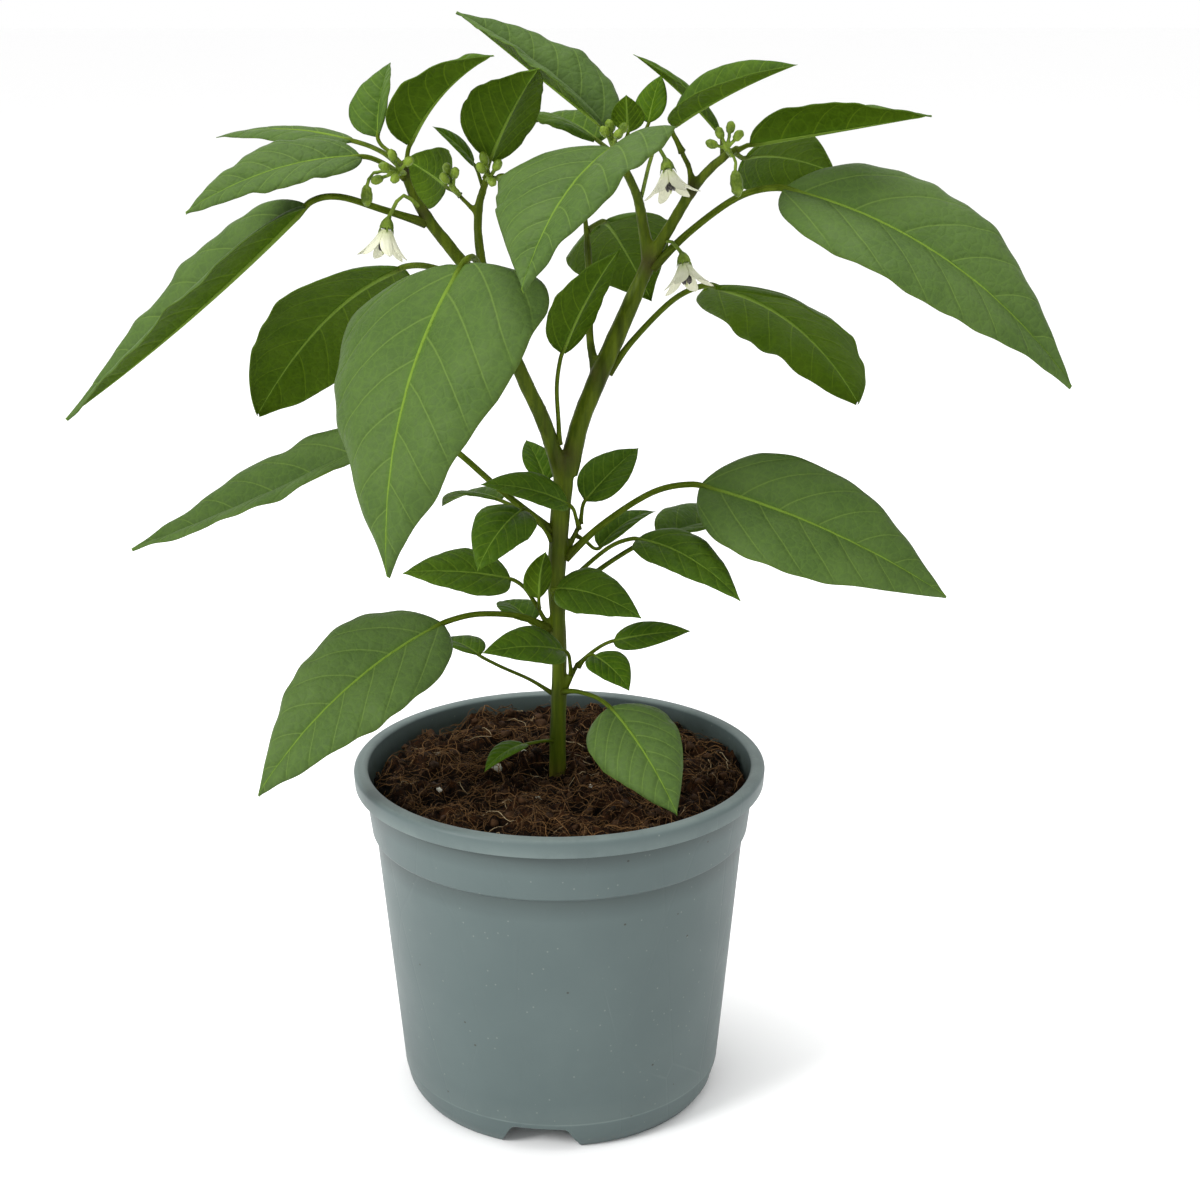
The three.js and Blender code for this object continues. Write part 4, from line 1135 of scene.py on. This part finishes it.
def make_fibres():
    coir, pale = Pile(), Pile()
    add_strands(coir, FIBRES, 75.5, (5, 17), (-0.2, 2.2), 0.34, (0.06, 0.17),
                [0.6, 0.9, 1, 1, 0.95, 0.8, 0.4], (0, 1), sides=4, evenly=False)
    add_strands(coir, COARSE_FIBRES, 75.5, (8, 22), (1.2, 5.0), 0.7, (0.10, 0.24),
                [0.7, 0.9, 1, 1, 1, 0.95, 0.85, 0.7, 0.3], (0.2, 1))
    add_strands(pale, ROOTLETS, 70, (9, 26), (0.6, 3.0), 0.75, (0.10, 0.20),
                [0.5, 0.8, 1, 1, 1, 1, 1, 0.9, 0.8, 0.6, 0.3], (0, 1))
    register(coir.build("potting_mix_coir", FIBRE, "shade"), "potting_mix")
    register(pale.build("potting_mix_rootlets", ROOTLET, "shade"), "potting_mix")


def lump_points(size, flat, detail):
    ball = bmesh.new()
    bmesh.ops.create_icosphere(ball, subdivisions=detail + 1, radius=1.0)
    faces = [tuple(v.index for v in f.verts) for f in ball.faces]
    points = np.array([v.co for v in ball.verts])
    ball.free()
    shift = loose(0, 100, 3)
    bumpy = np.array([1 + 0.62 * bumpiness(*(p * 1.5 + shift))
                      + 0.34 * bumpiness(*(p * 4 + shift)) for p in points])
    points = points * bumpy[:, None] * [1.0, loose(0.6, 1.0), flat] * size
    a = loose(0, TURN)
    turn = np.array([[math.cos(a), -math.sin(a), 0], [math.sin(a), math.cos(a), 0], [0, 0, 1]])
    tilt = loose(-0.6, 0.6)
    lean = np.array([[1, 0, 0], [0, math.cos(tilt), -math.sin(tilt)], [0, math.sin(tilt), math.cos(tilt)]])
    return points @ (turn @ lean).T, faces


def make_clods():
    pile = Pile()
    for _ in range(CLODS):
        x, y = scatter_place(75)
        size = loose(0.6, 2.3)
        points, faces = lump_points(size, loose(0.55, 0.95), 0 if size < 1.2 else 1)
        centre = np.array([x, y, mix_height(x, y) + size * loose(-0.1, 0.4)])
        pile.add((points + centre) * MM, faces, loose(0, 1))
    register(pile.build("potting_mix_clods", CLOD, "shade"), "potting_mix")
    stones = Pile()
    for k in range(GRAINS):
        x, y = scatter_place(66)
        size = loose(0.7, 1.7) if k else 2.4
        points, faces = lump_points(size, 0.75, 2)
        centre = np.array([x, y, mix_height(x, y) + size * 0.45])
        stones.add((points + centre) * MM, faces, loose(0, 1))
    register(stones.build("potting_mix_perlite", PERLITE, "shade"), "potting_mix")


make_mix()
make_fibres()
make_clods()


# ---- Floor, light and camera ----

def make_floor():
    s = Shader("floor_white", roughness=0.9, specular=0.1)
    fine = s.noise(3.0, 3.0)
    material = s.finish(s.mix(fine, (0.985, 0.985, 0.985), (0.99, 0.99, 0.99)))
    size = 14.0
    floor = add_object("floor", [(-size, -size, 0), (size, -size, 0), (size, size, 0), (-size, size, 0)],
                       [(0, 1, 2, 3)], material, smooth=False)


def area_light(name, place, target, size, power, colour=(1, 1, 1)):
    light = bpy.data.lights.new(name, "AREA")
    light.shape = "DISK"
    light.size = size
    light.energy = power
    light.color = colour
    lamp = add_to_scene(name, light)
    lamp.location = place
    lamp.rotation_euler = (Vector(target) - Vector(place)).to_track_quat("-Z", "Y").to_euler()


make_floor()
world = bpy.data.worlds.new("studio")
world.use_nodes = True
background = world.node_tree.nodes["Background"]
background.inputs["Color"].default_value = (1, 1, 1, 1)
background.inputs["Strength"].default_value = 1.0
bpy.context.scene.world = world
area_light("key", (-1.9, -1.4, 1.6), (0, 0, 0.2), 0.9, 52)
area_light("overhead", (0.0, 0.1, 2.1), (0, 0, 0.25), 1.2, 24)

camera_data = bpy.data.cameras.new("camera")
camera_data.lens = 62
camera_data.sensor_width = 36
camera = add_to_scene("camera", camera_data)
camera.location = (0, -0.8, 0.462)
camera.rotation_euler = (math.radians(90 - 17.25), 0, math.radians(-1.2))
bpy.context.scene.camera = camera
bpy.context.scene.view_settings.view_transform = "Standard"
